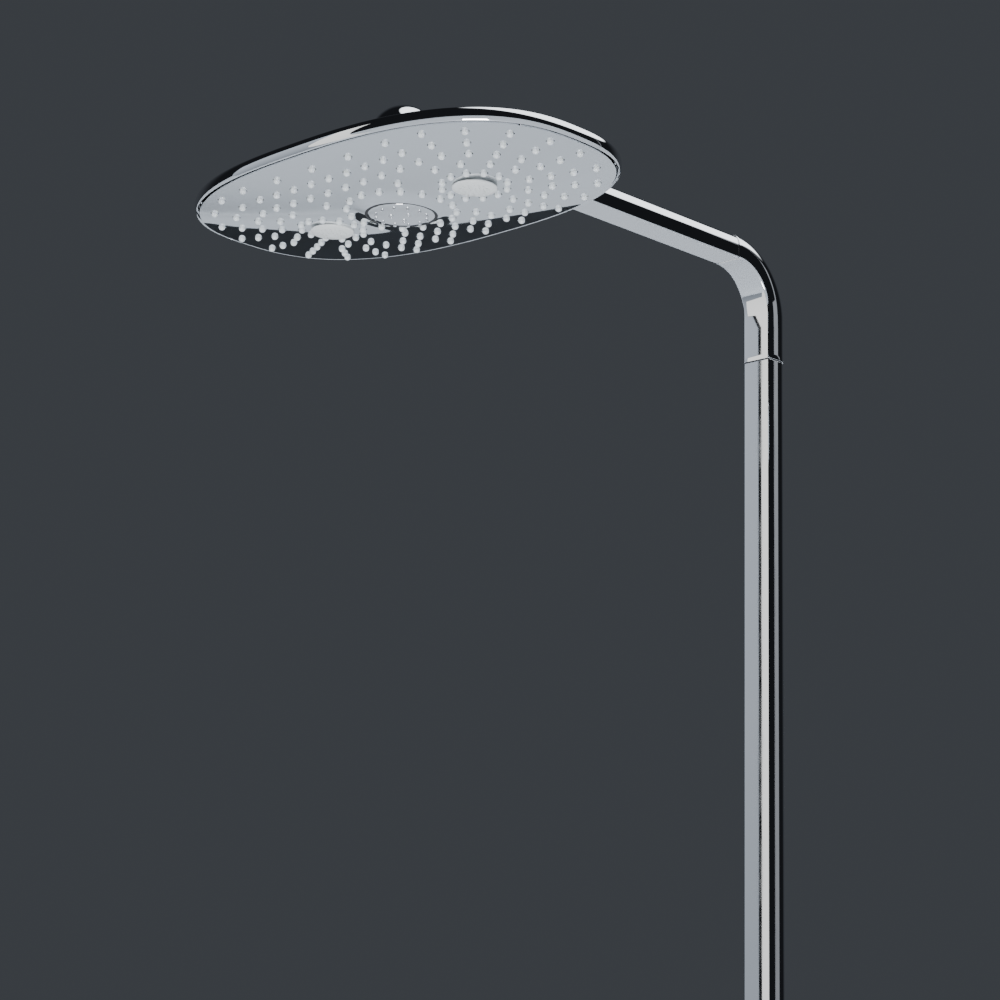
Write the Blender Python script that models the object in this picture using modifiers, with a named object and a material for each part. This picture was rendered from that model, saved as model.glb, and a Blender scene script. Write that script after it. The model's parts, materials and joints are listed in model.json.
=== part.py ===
"""Rainfall shower column: overhead shower, swivelling arm, wall column and thermostatic mixer.

Metres, +Z up. The wall is the plane Y = 0 and the shower stands in front of it, at negative Y.
The origin is the middle of the back face of the column's wall bracket.
"""

import math

import bmesh
import bpy
from mathutils import Matrix

MM = 0.001
GAP = 0.3 * MM  # left between pieces that touch
SMALL_STEPS = 8  # facets of screws and small holes
ROUND_STEPS = 12
LARGE_STEPS = 20

# Column: a straight tube, flat in front and round behind
COLUMN_WIDTH = 29 * MM
COLUMN_DEPTH = 29 * MM
COLUMN_WALL = 2 * MM
TUBE_CORNER = 1.6 * MM
COLUMN_ABOVE = 660 * MM  # wall bracket to the swivel seam
COLUMN_BELOW = 300 * MM  # wall bracket to the column's foot
WALL_DISTANCE = 60 * MM  # wall to the middle of the column

# Arm: the same kind of tube with its flat side down
ARM_REACH = 452 * MM  # column's middle to the head's middle
ARM_WIDTH = 26.5 * MM
ARM_HEIGHT = 24.5 * MM
ARM_WALL = 2 * MM
BEND_RADIUS = 40.5 * MM  # inside of the elbow
ELBOW_WALL = 3 * MM
ELBOW_DROP = 42 * MM  # straight leg of the elbow below its bend

# Overhead shower: a flat oval with a crowned face
FACE_LENGTH = 360 * MM
FACE_DEPTH = 220 * MM
OVAL_POWER = 2.6
FACE_CROWN = 12 * MM
FACE_BELOW_ARM = 47.5 * MM
PLATE_WALL = 2 * MM
MAT_WALL = 1.5 * MM
MAT_REACH = 0.97  # share of the face that the mat covers
SHELL_WALL = 1.6 * MM
SHELL_HEIGHT = 30 * MM
RIM_HEIGHT = 11 * MM
RIM_BULGE = 3.6 * MM

# Spray pattern: rows of nozzles around two massage nozzles and a middle disc
MASSAGE_SPACING = 156 * MM
MASSAGE_FLANGE = 17 * MM
MASSAGE_HUB = 12 * MM
DISC_RADIUS = 26 * MM
DISC_HUB = 22 * MM
DISC_DROP = 4.2 * MM  # below the lowest point of the crowned face
COLLAR_REACH = 9 * MM  # how far the plate's collar spreads round the disc's hole
ROW_RADII = (25 * MM, 41.5 * MM, 58 * MM, 75 * MM, 92 * MM)
ROW_TURNS = (12, 12, 18, 18, 18)  # nozzles that a whole turn of each row would have
ROW_STRAIGHTS = (0, 4, 8, 8, 4)  # equal steps between the two massage nozzles
DISC_ROW_RADIUS = 42 * MM
DISC_ROW_COUNT = 16
NOZZLE_RADIUS = 2.4 * MM
NOZZLE_HEIGHT = 3.5 * MM
NOZZLE_HOLE = 2.9 * MM

# Ball joint in the knuckle at the arm's end
KNUCKLE_RADIUS = 27.5 * MM
BALL_RADIUS = 13 * MM
BALL_ABOVE_FACE = 45 * MM
NECK_RADIUS = 7.8 * MM
BALL_NUT_WALL = 3.7 * MM
SLIP_RING_WALL = 1.4 * MM
BALL_SEAL_CORD = 1.5 * MM
BALL_SEAL_ANGLE = math.radians(35.198)  # from the ball joint's upright line
WATER_BORE = 4.5 * MM

# Swivel between column and elbow
SPIGOT_RADIUS = 9.6 * MM
SPIGOT_LENGTH = 36 * MM
SEAM = 0.8 * MM
RUNNING_GAP = 0.3 * MM

# Water pipes, one for the rain spray and one for the jets
PIPE_RADIUS = 4 * MM
PIPE_WALL = 1 * MM
PIPE_OFFSET = 4.7 * MM

# Wall bracket
BRACKET_RADIUS = 27 * MM
BRACKET_PLATE = 5 * MM
ROSETTE_RADIUS = 31 * MM
ROSETTE_DEPTH = 14 * MM
POST_RADIUS = 9 * MM
COLLAR_HEIGHT = 24 * MM
COLLAR_WALL = 3 * MM
BRACKET_SCREW_SPACING = 36 * MM

# Mixer: a round bar across the column's foot
MIXER_DROP = 52 * MM  # column's foot to the bar's axis
BAR_RADIUS = 23 * MM
BAR_LENGTH = 206 * MM
CARTRIDGE_BORE = 16 * MM
CARTRIDGE_DEPTH = 60 * MM
HANDLE_RADIUS = 23.5 * MM
HANDLE_LENGTH = 62 * MM
HANDLE_WALL = 3 * MM
SPINDLE_RADIUS = 5 * MM
BUTTON_RADIUS = 5.5 * MM
BUTTON_TRAVEL = 2.5 * MM
BUTTON_STAND = 3 * MM
INLET_SPACING = 150 * MM
BOSS_RADIUS = 13 * MM
BOSS_LENGTH = 9 * MM
UNION_RADIUS = 10.5 * MM
NUT_WALL = 5.5 * MM
ESCUTCHEON_RADIUS = 34 * MM
ESCUTCHEON_DEPTH = 15 * MM

# Places worked out from the sizes above
COLUMN_Y = -WALL_DISTANCE
COLUMN_FRONT = COLUMN_Y - COLUMN_DEPTH / 2
SEAM_Z = COLUMN_ABOVE
BEND_Y = COLUMN_FRONT - BEND_RADIUS
BEND_Z = SEAM_Z + ELBOW_DROP
ARM_UNDER = BEND_Z + BEND_RADIUS
FACE_Z = ARM_UNDER - FACE_BELOW_ARM
HEAD_Y = COLUMN_Y - ARM_REACH
BALL_Z = FACE_Z + BALL_ABOVE_FACE
FOOT_Z = -COLUMN_BELOW
MIXER_Z = FOOT_Z - MIXER_DROP
BAR_HALF = BAR_LENGTH / 2
MASSAGE_X = MASSAGE_SPACING / 2
NUT_RADIUS = BALL_RADIUS + RUNNING_GAP + BALL_NUT_WALL

CHROME = ("polished_chrome", (0.80, 0.81, 0.83), 0.05, 1.0)
SILICONE = ("clear_silicone", (0.86, 0.88, 0.89), 0.40, 0.0)
WHITE = ("white_plastic", (0.88, 0.89, 0.88), 0.32, 0.0)
DARK = ("dark_seal", (0.05, 0.05, 0.055), 0.55, 0.0)
BRASS = ("plain_brass", (0.72, 0.55, 0.28), 0.35, 1.0)
STEEL = ("plain_steel", (0.58, 0.59, 0.60), 0.35, 1.0)
ACETAL = ("pale_acetal", (0.74, 0.75, 0.74), 0.45, 0.0)
RED = ("red_button", (0.55, 0.05, 0.04), 0.35, 0.0)


# ---- making pieces -------------------------------------------------------------------------

for old in list(bpy.data.objects):
    bpy.data.objects.remove(old, do_unlink=True)

parts = bpy.data.collections.new("rainfall_shower_column")
bpy.context.scene.collection.children.link(parts)
cutters = bpy.data.collections.new("cutters")
bpy.context.scene.collection.children.link(cutters)


def material_for(finish):
    """The Principled material of a finish, made the first time it is asked for."""
    name, colour, roughness, metallic = finish
    if name in bpy.data.materials:
        return bpy.data.materials[name]
    material = bpy.data.materials.new(name)
    material.use_nodes = True
    shader = material.node_tree.nodes["Principled BSDF"]
    shader.inputs["Base Color"].default_value = (*colour, 1)
    shader.inputs["Roughness"].default_value = roughness
    shader.inputs["Metallic"].default_value = metallic
    return material


def add_object(name, mesh, finish):
    """A piece in the parts collection, or a cutter where it has no finish."""
    piece = bpy.data.objects.new(name, mesh)
    if finish is None:
        cutters.objects.link(piece)
        piece.hide_render = True
        piece.display_type = "WIRE"
    else:
        parts.objects.link(piece)
        mesh.materials.append(material_for(finish))
    return piece


def turn_towards(piece, axis):
    """Lay local +Z along the named world axis."""
    turns = {"Z": (0, 0, 0), "X": (0, math.pi / 2, 0), "Y": (-math.pi / 2, 0, 0), "-X": (0, -math.pi / 2, 0)}
    piece.rotation_euler = turns[axis]


def turned(name, profile, place, axis, finish, steps=ROUND_STEPS):
    """Revolve a closed (radius, height) profile, listed down its outer side, about the axis."""
    mesh = bpy.data.meshes.new(name)
    count = len(profile)
    edges = [(i, (i + 1) % count) for i in range(count)]
    if profile[0][0] == 0 and profile[-1][0] == 0:
        edges = edges[:-1]
    mesh.from_pydata([(radius, 0, height) for radius, height in profile], edges, [])
    piece = add_object(name, mesh, finish)
    screw = piece.modifiers.new("turned", "SCREW")
    screw.steps = steps
    screw.render_steps = steps
    screw.use_merge_vertices = True
    screw.merge_threshold = 0.00001
    piece.location = place
    turn_towards(piece, axis)
    return piece


def round_bar(name, radius, start, end, place, axis, finish, steps=ROUND_STEPS):
    """A plain round bar from start to end along the axis."""
    return turned(name, [(0, end), (radius, end), (radius, start), (0, start)], place, axis, finish, steps)


def sleeve(name, outer, inner, start, end, place, axis, finish, steps=ROUND_STEPS):
    """A plain round sleeve from start to end along the axis."""
    profile = [(outer, end), (outer, start), (inner, start), (inner, end)]
    return turned(name, profile, place, axis, finish, steps)


def ring_seal(name, ring_radius, cord_radius, place, axis, finish):
    """A moulded ring of round section."""
    section = []
    for step in range(5):
        angle = -math.tau * step / 5
        section.append((ring_radius + cord_radius * math.cos(angle), cord_radius * math.sin(angle)))
    return turned(name, section, place, axis, finish)


def lofted(name, rings, finish, capped=True):
    """Skin rings of equal point counts, in order; the ends are capped with flat faces."""
    count = len(rings[0])
    points = [point for ring in rings for point in ring]
    faces = []
    for ring in range(len(rings) - 1):
        for i in range(count):
            low = ring * count
            high = low + count
            faces.append((low + i, low + (i + 1) % count, high + (i + 1) % count, high + i))
    if capped:
        last = len(points) - count
        faces.append(tuple(reversed(range(count))))
        faces.append(tuple(last + i for i in range(count)))
    mesh = bpy.data.meshes.new(name)
    mesh.from_pydata(points, [], faces)
    shell = bmesh.new()
    shell.from_mesh(mesh)
    bmesh.ops.recalc_face_normals(shell, faces=shell.faces)
    shell.to_mesh(mesh)
    shell.free()
    return add_object(name, mesh, finish)


def plate_from(name, outlines, low, high, finish):
    """A flat plate: the first outline filled, the others left open, between two heights."""
    curve = bpy.data.curves.new(name, "CURVE")
    curve.dimensions = "2D"
    curve.fill_mode = "BOTH"
    curve.extrude = (high - low) / 2
    for outline in outlines:
        spline = curve.splines.new("POLY")
        spline.points.add(len(outline) - 1)
        spline.use_cyclic_u = True
        for point, (x, y) in zip(spline.points, outline):
            point.co = (x, y, 0, 1)
    return meshed(name, curve, (0, 0, (low + high) / 2), finish)


def meshed(name, curve, place, finish):
    """The curve's evaluated mesh, with its loose caps welded."""
    guide = bpy.data.objects.new(name + "_curve", curve)
    cutters.objects.link(guide)
    guide.location = place
    bpy.context.view_layer.update()
    mesh = bpy.data.meshes.new_from_object(guide.evaluated_get(bpy.context.evaluated_depsgraph_get()))
    mesh.name = name
    mesh.transform(guide.matrix_world)
    bpy.data.objects.remove(guide)
    welded = bmesh.new()
    welded.from_mesh(mesh)
    bmesh.ops.remove_doubles(welded, verts=welded.verts, dist=0.000005)
    welded.to_mesh(mesh)
    welded.free()
    mesh.materials.clear()
    return add_object(name, mesh, finish)


def pipe(name, route, finish):
    """A water pipe along a route: an open bevelled curve given its wall by Solidify."""
    curve = bpy.data.curves.new(name, "CURVE")
    curve.dimensions = "3D"
    curve.bevel_depth = PIPE_RADIUS
    curve.bevel_resolution = 2
    spline = curve.splines.new("POLY")
    spline.points.add(len(route) - 1)
    for point, place in zip(spline.points, route):
        point.co = (*place, 1)
    piece = meshed(name, curve, (0, 0, 0), finish)
    wall = piece.modifiers.new("wall", "SOLIDIFY")
    wall.thickness = PIPE_WALL
    wall.offset = -1
    return piece


def boolean(piece, tool, operation):
    """Cut a tool out of a piece, or join it on; the tool lies in the cutters collection."""
    change = piece.modifiers.new(tool.name, "BOOLEAN")
    change.object = tool
    change.operation = operation
    change.solver = "EXACT"


def cut(piece, tool):
    boolean(piece, tool, "DIFFERENCE")


def join(piece, tool):
    boolean(piece, tool, "UNION")


def circle(radius, x, y, count=ROUND_STEPS):
    """Points of a circle."""
    return [
        (x + radius * math.cos(math.tau * i / count), y + radius * math.sin(math.tau * i / count))
        for i in range(count)
    ]


# ---- outlines shared by several pieces -----------------------------------------------------

OVAL_POINTS = 32
CROWN_POINTS = 8


def oval(scale=1.0, grow=0.0):
    """The head's outline: a superellipse, scaled and then grown outwards."""
    half_length = FACE_LENGTH / 2 * scale + grow
    half_depth = FACE_DEPTH / 2 * scale + grow
    points = []
    for i in range(OVAL_POINTS):
        angle = math.tau * i / OVAL_POINTS
        c = math.cos(angle)
        s = math.sin(angle)
        x = half_length * math.copysign(abs(c) ** (2 / OVAL_POWER), c)
        y = half_depth * math.copysign(abs(s) ** (2 / OVAL_POWER), s)
        points.append((x, y))
    return points


def head_ring(outline, height):
    """An outline placed under the arm's end, at a height above the face's edge."""
    return [(x, HEAD_Y + y, FACE_Z + height) for x, y in outline]


def crown(x, y):
    """How far the crowned face hangs below its edge at a point of the head."""
    power = OVAL_POWER
    reach = (abs(2 * x / FACE_LENGTH) ** power + abs(2 * y / FACE_DEPTH) ** power) ** (1 / power)
    return FACE_CROWN * (1 - min(reach, 1) ** 2)


def d_outline(width, depth, inset=0.0):
    """Flat side on v = 0, straight flanks and a round back; (across, out) points."""
    half = width / 2 - inset
    corner = max(TUBE_CORNER - inset, 0.4 * MM)
    back = depth - width / 2
    points = []
    for step in range(3):
        angle = math.pi / 4 * step
        points.append((-half + corner - corner * math.sin(angle), inset + corner - corner * math.cos(angle)))
    for step in range(CROWN_POINTS + 1):
        angle = math.pi * step / CROWN_POINTS
        points.append((-half * math.cos(angle), back + half * math.sin(angle)))
    for step in range(3):
        angle = math.pi / 4 * (2 - step)
        points.append((half - corner + corner * math.sin(angle), inset + corner - corner * math.cos(angle)))
    return points


def column_outline(inset=0.0):
    """The column's outline seen from above, in world X and Y."""
    return [(u, COLUMN_FRONT + v) for u, v in d_outline(COLUMN_WIDTH, COLUMN_DEPTH, inset)]


def column_stick(name, inset, low, high, finish):
    """A solid stick of the column's shape, inset from its outside."""
    return plate_from(name, [column_outline(inset)], low, high, finish)


def arm_rings(inset, start, end):
    """The arm's outline at two places along Y."""
    outline = d_outline(ARM_WIDTH, ARM_HEIGHT, inset)
    return [[(u, y, ARM_UNDER + v) for u, v in outline] for y in (start, end)]


def elbow_rings(inset, overrun):
    """Outlines round the bend, from the arm's shape to the column's, then straight down."""
    steps = 8
    rings = []
    if overrun:
        rings.append(arm_rings(inset, BEND_Y - overrun, 0)[0])
    for step in range(steps + 1):
        share = step / steps
        angle = math.pi / 2 * share
        width = ARM_WIDTH + (COLUMN_WIDTH - ARM_WIDTH) * share
        depth = ARM_HEIGHT + (COLUMN_DEPTH - ARM_HEIGHT) * share
        outline = d_outline(width, depth, inset)
        ring = []
        for u, v in outline:
            radius = BEND_RADIUS + v
            ring.append((u, BEND_Y + radius * math.sin(angle), BEND_Z + radius * math.cos(angle)))
        rings.append(ring)
    bottom = SEAM_Z + SEAM - overrun
    rings.append([(u, COLUMN_FRONT + v, bottom) for u, v in d_outline(COLUMN_WIDTH, COLUMN_DEPTH, inset)])
    return rings


def nozzle_places():
    """Where the rain nozzles stand: rows round each massage nozzle, straights and a middle ring."""
    places = []
    for row, radius in enumerate(ROW_RADII):
        turn = math.tau / ROW_TURNS[row]
        half_turn = ROW_TURNS[row] // 2
        for side in (-1, 1):
            last = ROW_TURNS[row] if row == 0 else half_turn + 1
            for step in range(last):
                angle = -math.pi / 2 + turn * step
                x = side * (MASSAGE_X + radius * math.cos(angle))
                places.append((x, radius * math.sin(angle)))
        straights = ROW_STRAIGHTS[row]
        for step in range(1, straights):
            x = -MASSAGE_X + MASSAGE_SPACING * step / straights
            if row == 1 and abs(x) < DISC_ROW_RADIUS / 2:
                continue
            places.append((x, radius))
            places.append((x, -radius))
    for step in range(DISC_ROW_COUNT):
        angle = math.tau * step / DISC_ROW_COUNT
        places.append((DISC_ROW_RADIUS * math.cos(angle), DISC_ROW_RADIUS * math.sin(angle)))
    return places


def nozzle_posts(name, radius, tip_radius, below, above):
    """One four-sided post for each rain nozzle, from below the face to above it."""
    posts = bmesh.new()
    for x, y in nozzle_places():
        face = FACE_Z - crown(x, y)
        middle = Matrix.Translation((x, HEAD_Y + y, face + (above - below) / 2))
        bmesh.ops.create_cone(
            posts, cap_ends=True, segments=4, radius1=tip_radius, radius2=radius, depth=above + below,
            matrix=middle,
        )
    mesh = bpy.data.meshes.new(name)
    posts.to_mesh(mesh)
    posts.free()
    return add_object(name, mesh, None)


# ---- overhead shower -----------------------------------------------------------------------

CROWN_SCALES = (0.15, 0.5, 0.8, 1.0)


def crowned_sheet(name, low, high, reach, grow, finish):
    """A sheet that follows the crowned face between two heights above it."""
    rings = []
    for scale in CROWN_SCALES:
        drop = FACE_CROWN * (1 - (scale * reach) ** 2)
        rings.append(head_ring(oval(scale * reach, grow if scale == 1 else 0), low - drop))
    for scale in reversed(CROWN_SCALES):
        drop = FACE_CROWN * (1 - (scale * reach) ** 2)
        rings.append(head_ring(oval(scale * reach, grow if scale == 1 else 0), high - drop))
    return lofted(name, rings, finish)


def plate_collar(centre):
    """Ring that carries the crowned plate down to the edge of the middle disc."""
    hole = DISC_RADIUS + 2 * MM
    root = hole + COLLAR_REACH
    sheet = -FACE_CROWN + PLATE_WALL
    lip = -FACE_CROWN - DISC_DROP + 1.2 * MM
    return turned(
        "plate_collar",
        [
            (root, sheet), (root, sheet - 0.4 * MM), (hole + 5 * MM, -FACE_CROWN - 0.4 * MM), (hole, lip),
            (hole, lip + PLATE_WALL), (hole + 4.2 * MM, sheet),
        ],
        centre, "Z", None, LARGE_STEPS,
    )


def build_face():
    """Spray plate, nozzle mat, middle disc and the two massage nozzles."""
    centre = (0, HEAD_Y, FACE_Z)
    plate = crowned_sheet("spray_plate", 0, PLATE_WALL, 1.0, -GAP, CHROME)
    cut(plate, nozzle_posts("nozzle_holes", NOZZLE_HOLE, NOZZLE_HOLE, 4 * MM, 6 * MM))
    join(plate, plate_collar(centre))
    mat_low = PLATE_WALL + GAP
    mat = crowned_sheet("nozzle_mat", mat_low, mat_low + MAT_WALL, MAT_REACH, 0, SILICONE)
    root = mat_low + MAT_WALL / 2
    join(mat, nozzle_posts("nozzle_tips", NOZZLE_RADIUS, NOZZLE_RADIUS * 0.8, NOZZLE_HEIGHT, root))
    for piece, ring_gap, hub_gap in ((plate, 2 * MM, 0.4 * MM), (mat, 1 * MM, 2 * MM)):
        hole = DISC_RADIUS + ring_gap
        tool = round_bar(piece.name + "_middle", hole, -30 * MM, 10 * MM, centre, "Z", None, LARGE_STEPS)
        cut(piece, tool)
        for side in (-1, 1):
            place = (side * MASSAGE_X, HEAD_Y, FACE_Z)
            hole = MASSAGE_HUB + hub_gap
            cut(piece, round_bar(f"{piece.name}_{side}", hole, -30 * MM, 10 * MM, place, "Z", None))
    hub_top = 5.4 * MM
    bottom = -FACE_CROWN - DISC_DROP
    turned(
        "centre_jet_disc",
        [
            (DISC_HUB, hub_top),
            (DISC_HUB, bottom + 2.5 * MM),
            (DISC_RADIUS, bottom + 2.2 * MM),
            (DISC_RADIUS, bottom + 0.8 * MM),
            (DISC_RADIUS - 3 * MM, bottom),
            (0, bottom - 0.6 * MM),
            (0, bottom + 3 * MM),
            (DISC_HUB - 3 * MM, bottom + 3 * MM),
            (DISC_HUB - 3 * MM, hub_top),
        ],
        centre, "Z", CHROME, LARGE_STEPS,
    )
    sleeve(
        "centre_disc_seal", DISC_RADIUS + 1.6 * MM, DISC_RADIUS + GAP,
        bottom + 0.9 * MM, bottom + 2.9 * MM, centre, "Z", DARK, LARGE_STEPS,
    )
    flange_top = -crown(MASSAGE_X - MASSAGE_FLANGE, 0) - 0.5 * MM
    for side, word in ((-1, "left"), (1, "right")):
        place = (side * MASSAGE_X, HEAD_Y, FACE_Z)
        turned(
            "massage_nozzle_" + word,
            [
                (MASSAGE_HUB, hub_top),
                (MASSAGE_HUB, flange_top),
                (MASSAGE_FLANGE, flange_top),
                (MASSAGE_FLANGE, flange_top - 0.8 * MM),
                (MASSAGE_FLANGE - 4 * MM, flange_top - 2.2 * MM),
                (0, flange_top - 2.8 * MM),
                (0, flange_top),
                (MASSAGE_HUB - 2.5 * MM, flange_top),
                (MASSAGE_HUB - 2.5 * MM, hub_top),
            ],
            place, "Z", WHITE,
        )


def build_head_body():
    """Top shell, distributor plate and cover, gasket and the four screws."""
    distributor = 0.88
    plate_low = 6 * MM
    plate_high = 8.5 * MM
    rings = [
        head_ring(oval(1, 1.6 * MM), 0),
        head_ring(oval(1, 3.0 * MM), 2 * MM),
        head_ring(oval(1, RIM_BULGE), 5 * MM),
        head_ring(oval(1, RIM_BULGE * 0.8), 8.5 * MM),
        head_ring(oval(1, 0), RIM_HEIGHT),
    ]
    for scale in (0.9, 0.7, 0.42):
        rise = RIM_HEIGHT + (SHELL_HEIGHT - RIM_HEIGHT) * (1 - scale**2)
        rings.append(head_ring(oval(scale), rise))
    rings.append(head_ring(circle(NECK_RADIUS + 2.5 * MM, 0, 0, OVAL_POINTS), SHELL_HEIGHT))
    shell = lofted("head_top_shell", rings, CHROME, capped=False)
    wall = shell.modifiers.new("wall", "SOLIDIFY")
    wall.thickness = SHELL_WALL
    wall.offset = -1

    screw_x, screw_y = FACE_LENGTH / 2 * 0.5111, FACE_DEPTH / 2 * 0.3455  # in the middle of the cover's flange
    screws = [(sx * screw_x, sy * screw_y) for sx in (-1, 1) for sy in (-1, 1)]
    holes = [circle(8 * MM, x, HEAD_Y) for x in (-MASSAGE_X, 0, MASSAGE_X)]
    holes += [circle(2.3 * MM, x, HEAD_Y + y, SMALL_STEPS) for x, y in screws]
    outline = [(x, HEAD_Y + y) for x, y in oval(distributor)]
    plate_from("distributor_plate", [outline] + holes, FACE_Z + plate_low, FACE_Z + plate_high, ACETAL)
    outer = [(x, HEAD_Y + y) for x, y in oval(distributor)]
    inner = [(x, HEAD_Y + y) for x, y in oval(distributor, -6 * MM)]
    plate_from("chamber_gasket", [outer, inner], FACE_Z + 1.6 * MM, FACE_Z + plate_low - GAP, DARK)

    flange = plate_high + GAP + 2 * MM + 0.2 * MM
    cover_rings = [
        head_ring(oval(0.62), flange),
        head_ring(oval(0.52), flange),
        head_ring(oval(0.46), flange + 5 * MM),
        head_ring(oval(0.40), flange + 10 * MM),
        head_ring(oval(0.30), flange + 12.6 * MM),
        head_ring(circle(WATER_BORE + 3 * MM, 0, 0, OVAL_POINTS), flange + 12.6 * MM),
    ]
    cover = lofted("distributor_cover", cover_rings, ACETAL, capped=False)
    wall = cover.modifiers.new("wall", "SOLIDIFY")
    wall.thickness = 2 * MM
    wall.offset = -1
    for number, (x, y) in enumerate(screws, 1):
        place = (x, HEAD_Y + y, FACE_Z)
        cut(cover, round_bar(f"cover_hole_{number}", 2.3 * MM, 0, 20 * MM, place, "Z", None, SMALL_STEPS))
        top = flange + GAP
        turned(
            f"head_screw_{number}",
            [(0, top + 2.2 * MM), (3.6 * MM, top + 1.6 * MM), (3.6 * MM, top), (1.9 * MM, top),
             (1.9 * MM, plate_low + 0.4 * MM), (0, plate_low + 0.4 * MM)],
            place, "Z", STEEL, SMALL_STEPS,
        )
    return flange + 12.6 * MM


def build_ball_joint(cover_top):
    """Ball stud on the head, slip ring, retaining nut, seal, and the knuckle that holds them."""
    centre = (0, HEAD_Y, BALL_Z)
    foot = cover_top + GAP - BALL_ABOVE_FACE
    neck_angle = math.asin(NECK_RADIUS / BALL_RADIUS)
    top_angle = math.asin(WATER_BORE / BALL_RADIUS)
    profile = []
    arc_steps = 10
    for step in range(arc_steps + 1):
        angle = top_angle + (math.pi - neck_angle - top_angle) * step / arc_steps
        profile.append((BALL_RADIUS * math.sin(angle), BALL_RADIUS * math.cos(angle)))
    flange = 13 * MM
    profile += [(NECK_RADIUS, foot + 2.4 * MM), (flange, foot + 2.4 * MM), (flange, foot), (WATER_BORE, foot)]
    turned("swivel_ball", profile, centre, "Z", BRASS)

    seat = BALL_RADIUS + RUNNING_GAP
    ring_outer = seat + SLIP_RING_WALL

    def seat_radius(height):
        return math.sqrt(seat**2 - height**2)

    def round_radius(ball, height):
        return math.sqrt(ball**2 - height**2)

    ring_heights = (4.9 * MM, 6.2 * MM, 7.4 * MM, 8.5 * MM)
    turned(
        "ball_slip_ring",
        [(round_radius(ring_outer, h), h) for h in reversed(ring_heights)]
        + [(seat_radius(h) + 0.15 * MM, h) for h in ring_heights],
        centre, "Z", WHITE,
    )
    seal_line = BALL_RADIUS + BALL_SEAL_CORD + 0.2466 * MM
    seal_height = seal_line * math.cos(BALL_SEAL_ANGLE)
    seal_radius = seal_line * math.sin(BALL_SEAL_ANGLE)
    seal = ring_seal("ball_seal", seal_radius, BALL_SEAL_CORD, centre, "Z", DARK)
    seal.location.z += seal_height
    turned(
        "ball_retaining_nut",
        [(NUT_RADIUS, 1.4 * MM), (NUT_RADIUS, -6.6 * MM), (NUT_RADIUS - 1 * MM, -7.4 * MM)]
        + [(seat_radius(h * MM) + 0.15 * MM, h * MM) for h in (-7.4, -5, -2.5, 0, 1.4)],
        centre, "Z", CHROME,
    )
    cavity = NUT_RADIUS + GAP
    dome_seat = ring_outer + 0.5 * MM
    groove = seal_radius + BALL_SEAL_CORD + 0.4 * MM
    water_way = seal_radius - BALL_SEAL_CORD - 0.5 * MM
    inner_top = 20 * MM
    outer = []
    dome_steps = 10
    for step in range(dome_steps + 1):
        angle = math.pi / 2 * step / dome_steps
        outer.append((KNUCKLE_RADIUS * math.sin(angle), KNUCKLE_RADIUS * math.cos(angle)))
    knuckle = turned(
        "arm_end_knuckle",
        outer
        + [(KNUCKLE_RADIUS, -1 * MM), (cavity, -1 * MM), (cavity, 1.7 * MM)]
        + [(round_radius(dome_seat, h * MM), h * MM) for h in (1.7, 5, 8, 11)]
        + [(groove, 11.1 * MM), (groove, seal_height + 1.8 * MM), (water_way, seal_height + 1.8 * MM),
           (water_way, inner_top), (0, inner_top)],
        centre, "Z", CHROME, LARGE_STEPS,
    )
    for side in (-1, 1):
        port_place = (side * PIPE_OFFSET, HEAD_Y, ARM_UNDER + ARM_HEIGHT / 2)
        port_end = KNUCKLE_RADIUS + 5 * MM
        port = round_bar(f"knuckle_port_{side}", PIPE_RADIUS + GAP, 4 * MM, port_end, port_place, "Y", None)
        cut(knuckle, port)


# ---- arm and elbow -------------------------------------------------------------------------


def build_arm():
    """Arm tube, elbow, seam gasket and the two pipes inside them."""
    arm_start = BEND_Y - SEAM - GAP
    arm = lofted("arm_tube", arm_rings(0, arm_start, HEAD_Y), CHROME)
    cut(arm, lofted("arm_inside", arm_rings(ARM_WALL, arm_start + 5 * MM, HEAD_Y - 5 * MM), None))
    dome_cut = round_ball("arm_end_cut", KNUCKLE_RADIUS + GAP, (0, HEAD_Y, BALL_Z))
    cut(arm, dome_cut)
    gasket_at = BEND_Y - GAP
    gasket = lofted("arm_seam_gasket", arm_rings(0.3 * MM, gasket_at - SEAM + GAP, gasket_at), DARK)
    cut(gasket, lofted("gasket_inside", arm_rings(ELBOW_WALL, gasket_at - 5 * MM, gasket_at + 5 * MM), None))
    elbow = lofted("elbow", elbow_rings(0, 0), CHROME)
    cut(elbow, lofted("elbow_inside", elbow_rings(ELBOW_WALL, 6 * MM), None))

    plug_top = SEAM_Z + 12 * MM
    for side, word in ((-1, "jet"), (1, "rain")):
        route = [(side * PIPE_OFFSET, COLUMN_Y, plug_top + GAP)]
        steps = 8
        arm_line = ARM_HEIGHT / 2
        column_line = COLUMN_DEPTH / 2
        for step in range(steps + 1):
            share = 1 - step / steps
            angle = math.pi / 2 * share
            radius = BEND_RADIUS + arm_line + (column_line - arm_line) * share
            y = BEND_Y + radius * math.sin(angle)
            route.append((side * PIPE_OFFSET, y, BEND_Z + radius * math.cos(angle)))
        route.append((side * PIPE_OFFSET, HEAD_Y + 17 * MM, ARM_UNDER + arm_line))
        pipe(f"arm_{word}_pipe", route, ACETAL)


def round_ball(name, radius, place):
    """A ball used as a cutter."""
    ball = bmesh.new()
    bmesh.ops.create_uvsphere(ball, u_segments=28, v_segments=18, radius=radius)
    mesh = bpy.data.meshes.new(name)
    ball.to_mesh(mesh)
    ball.free()
    piece = add_object(name, mesh, None)
    piece.location = place
    return piece


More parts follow.
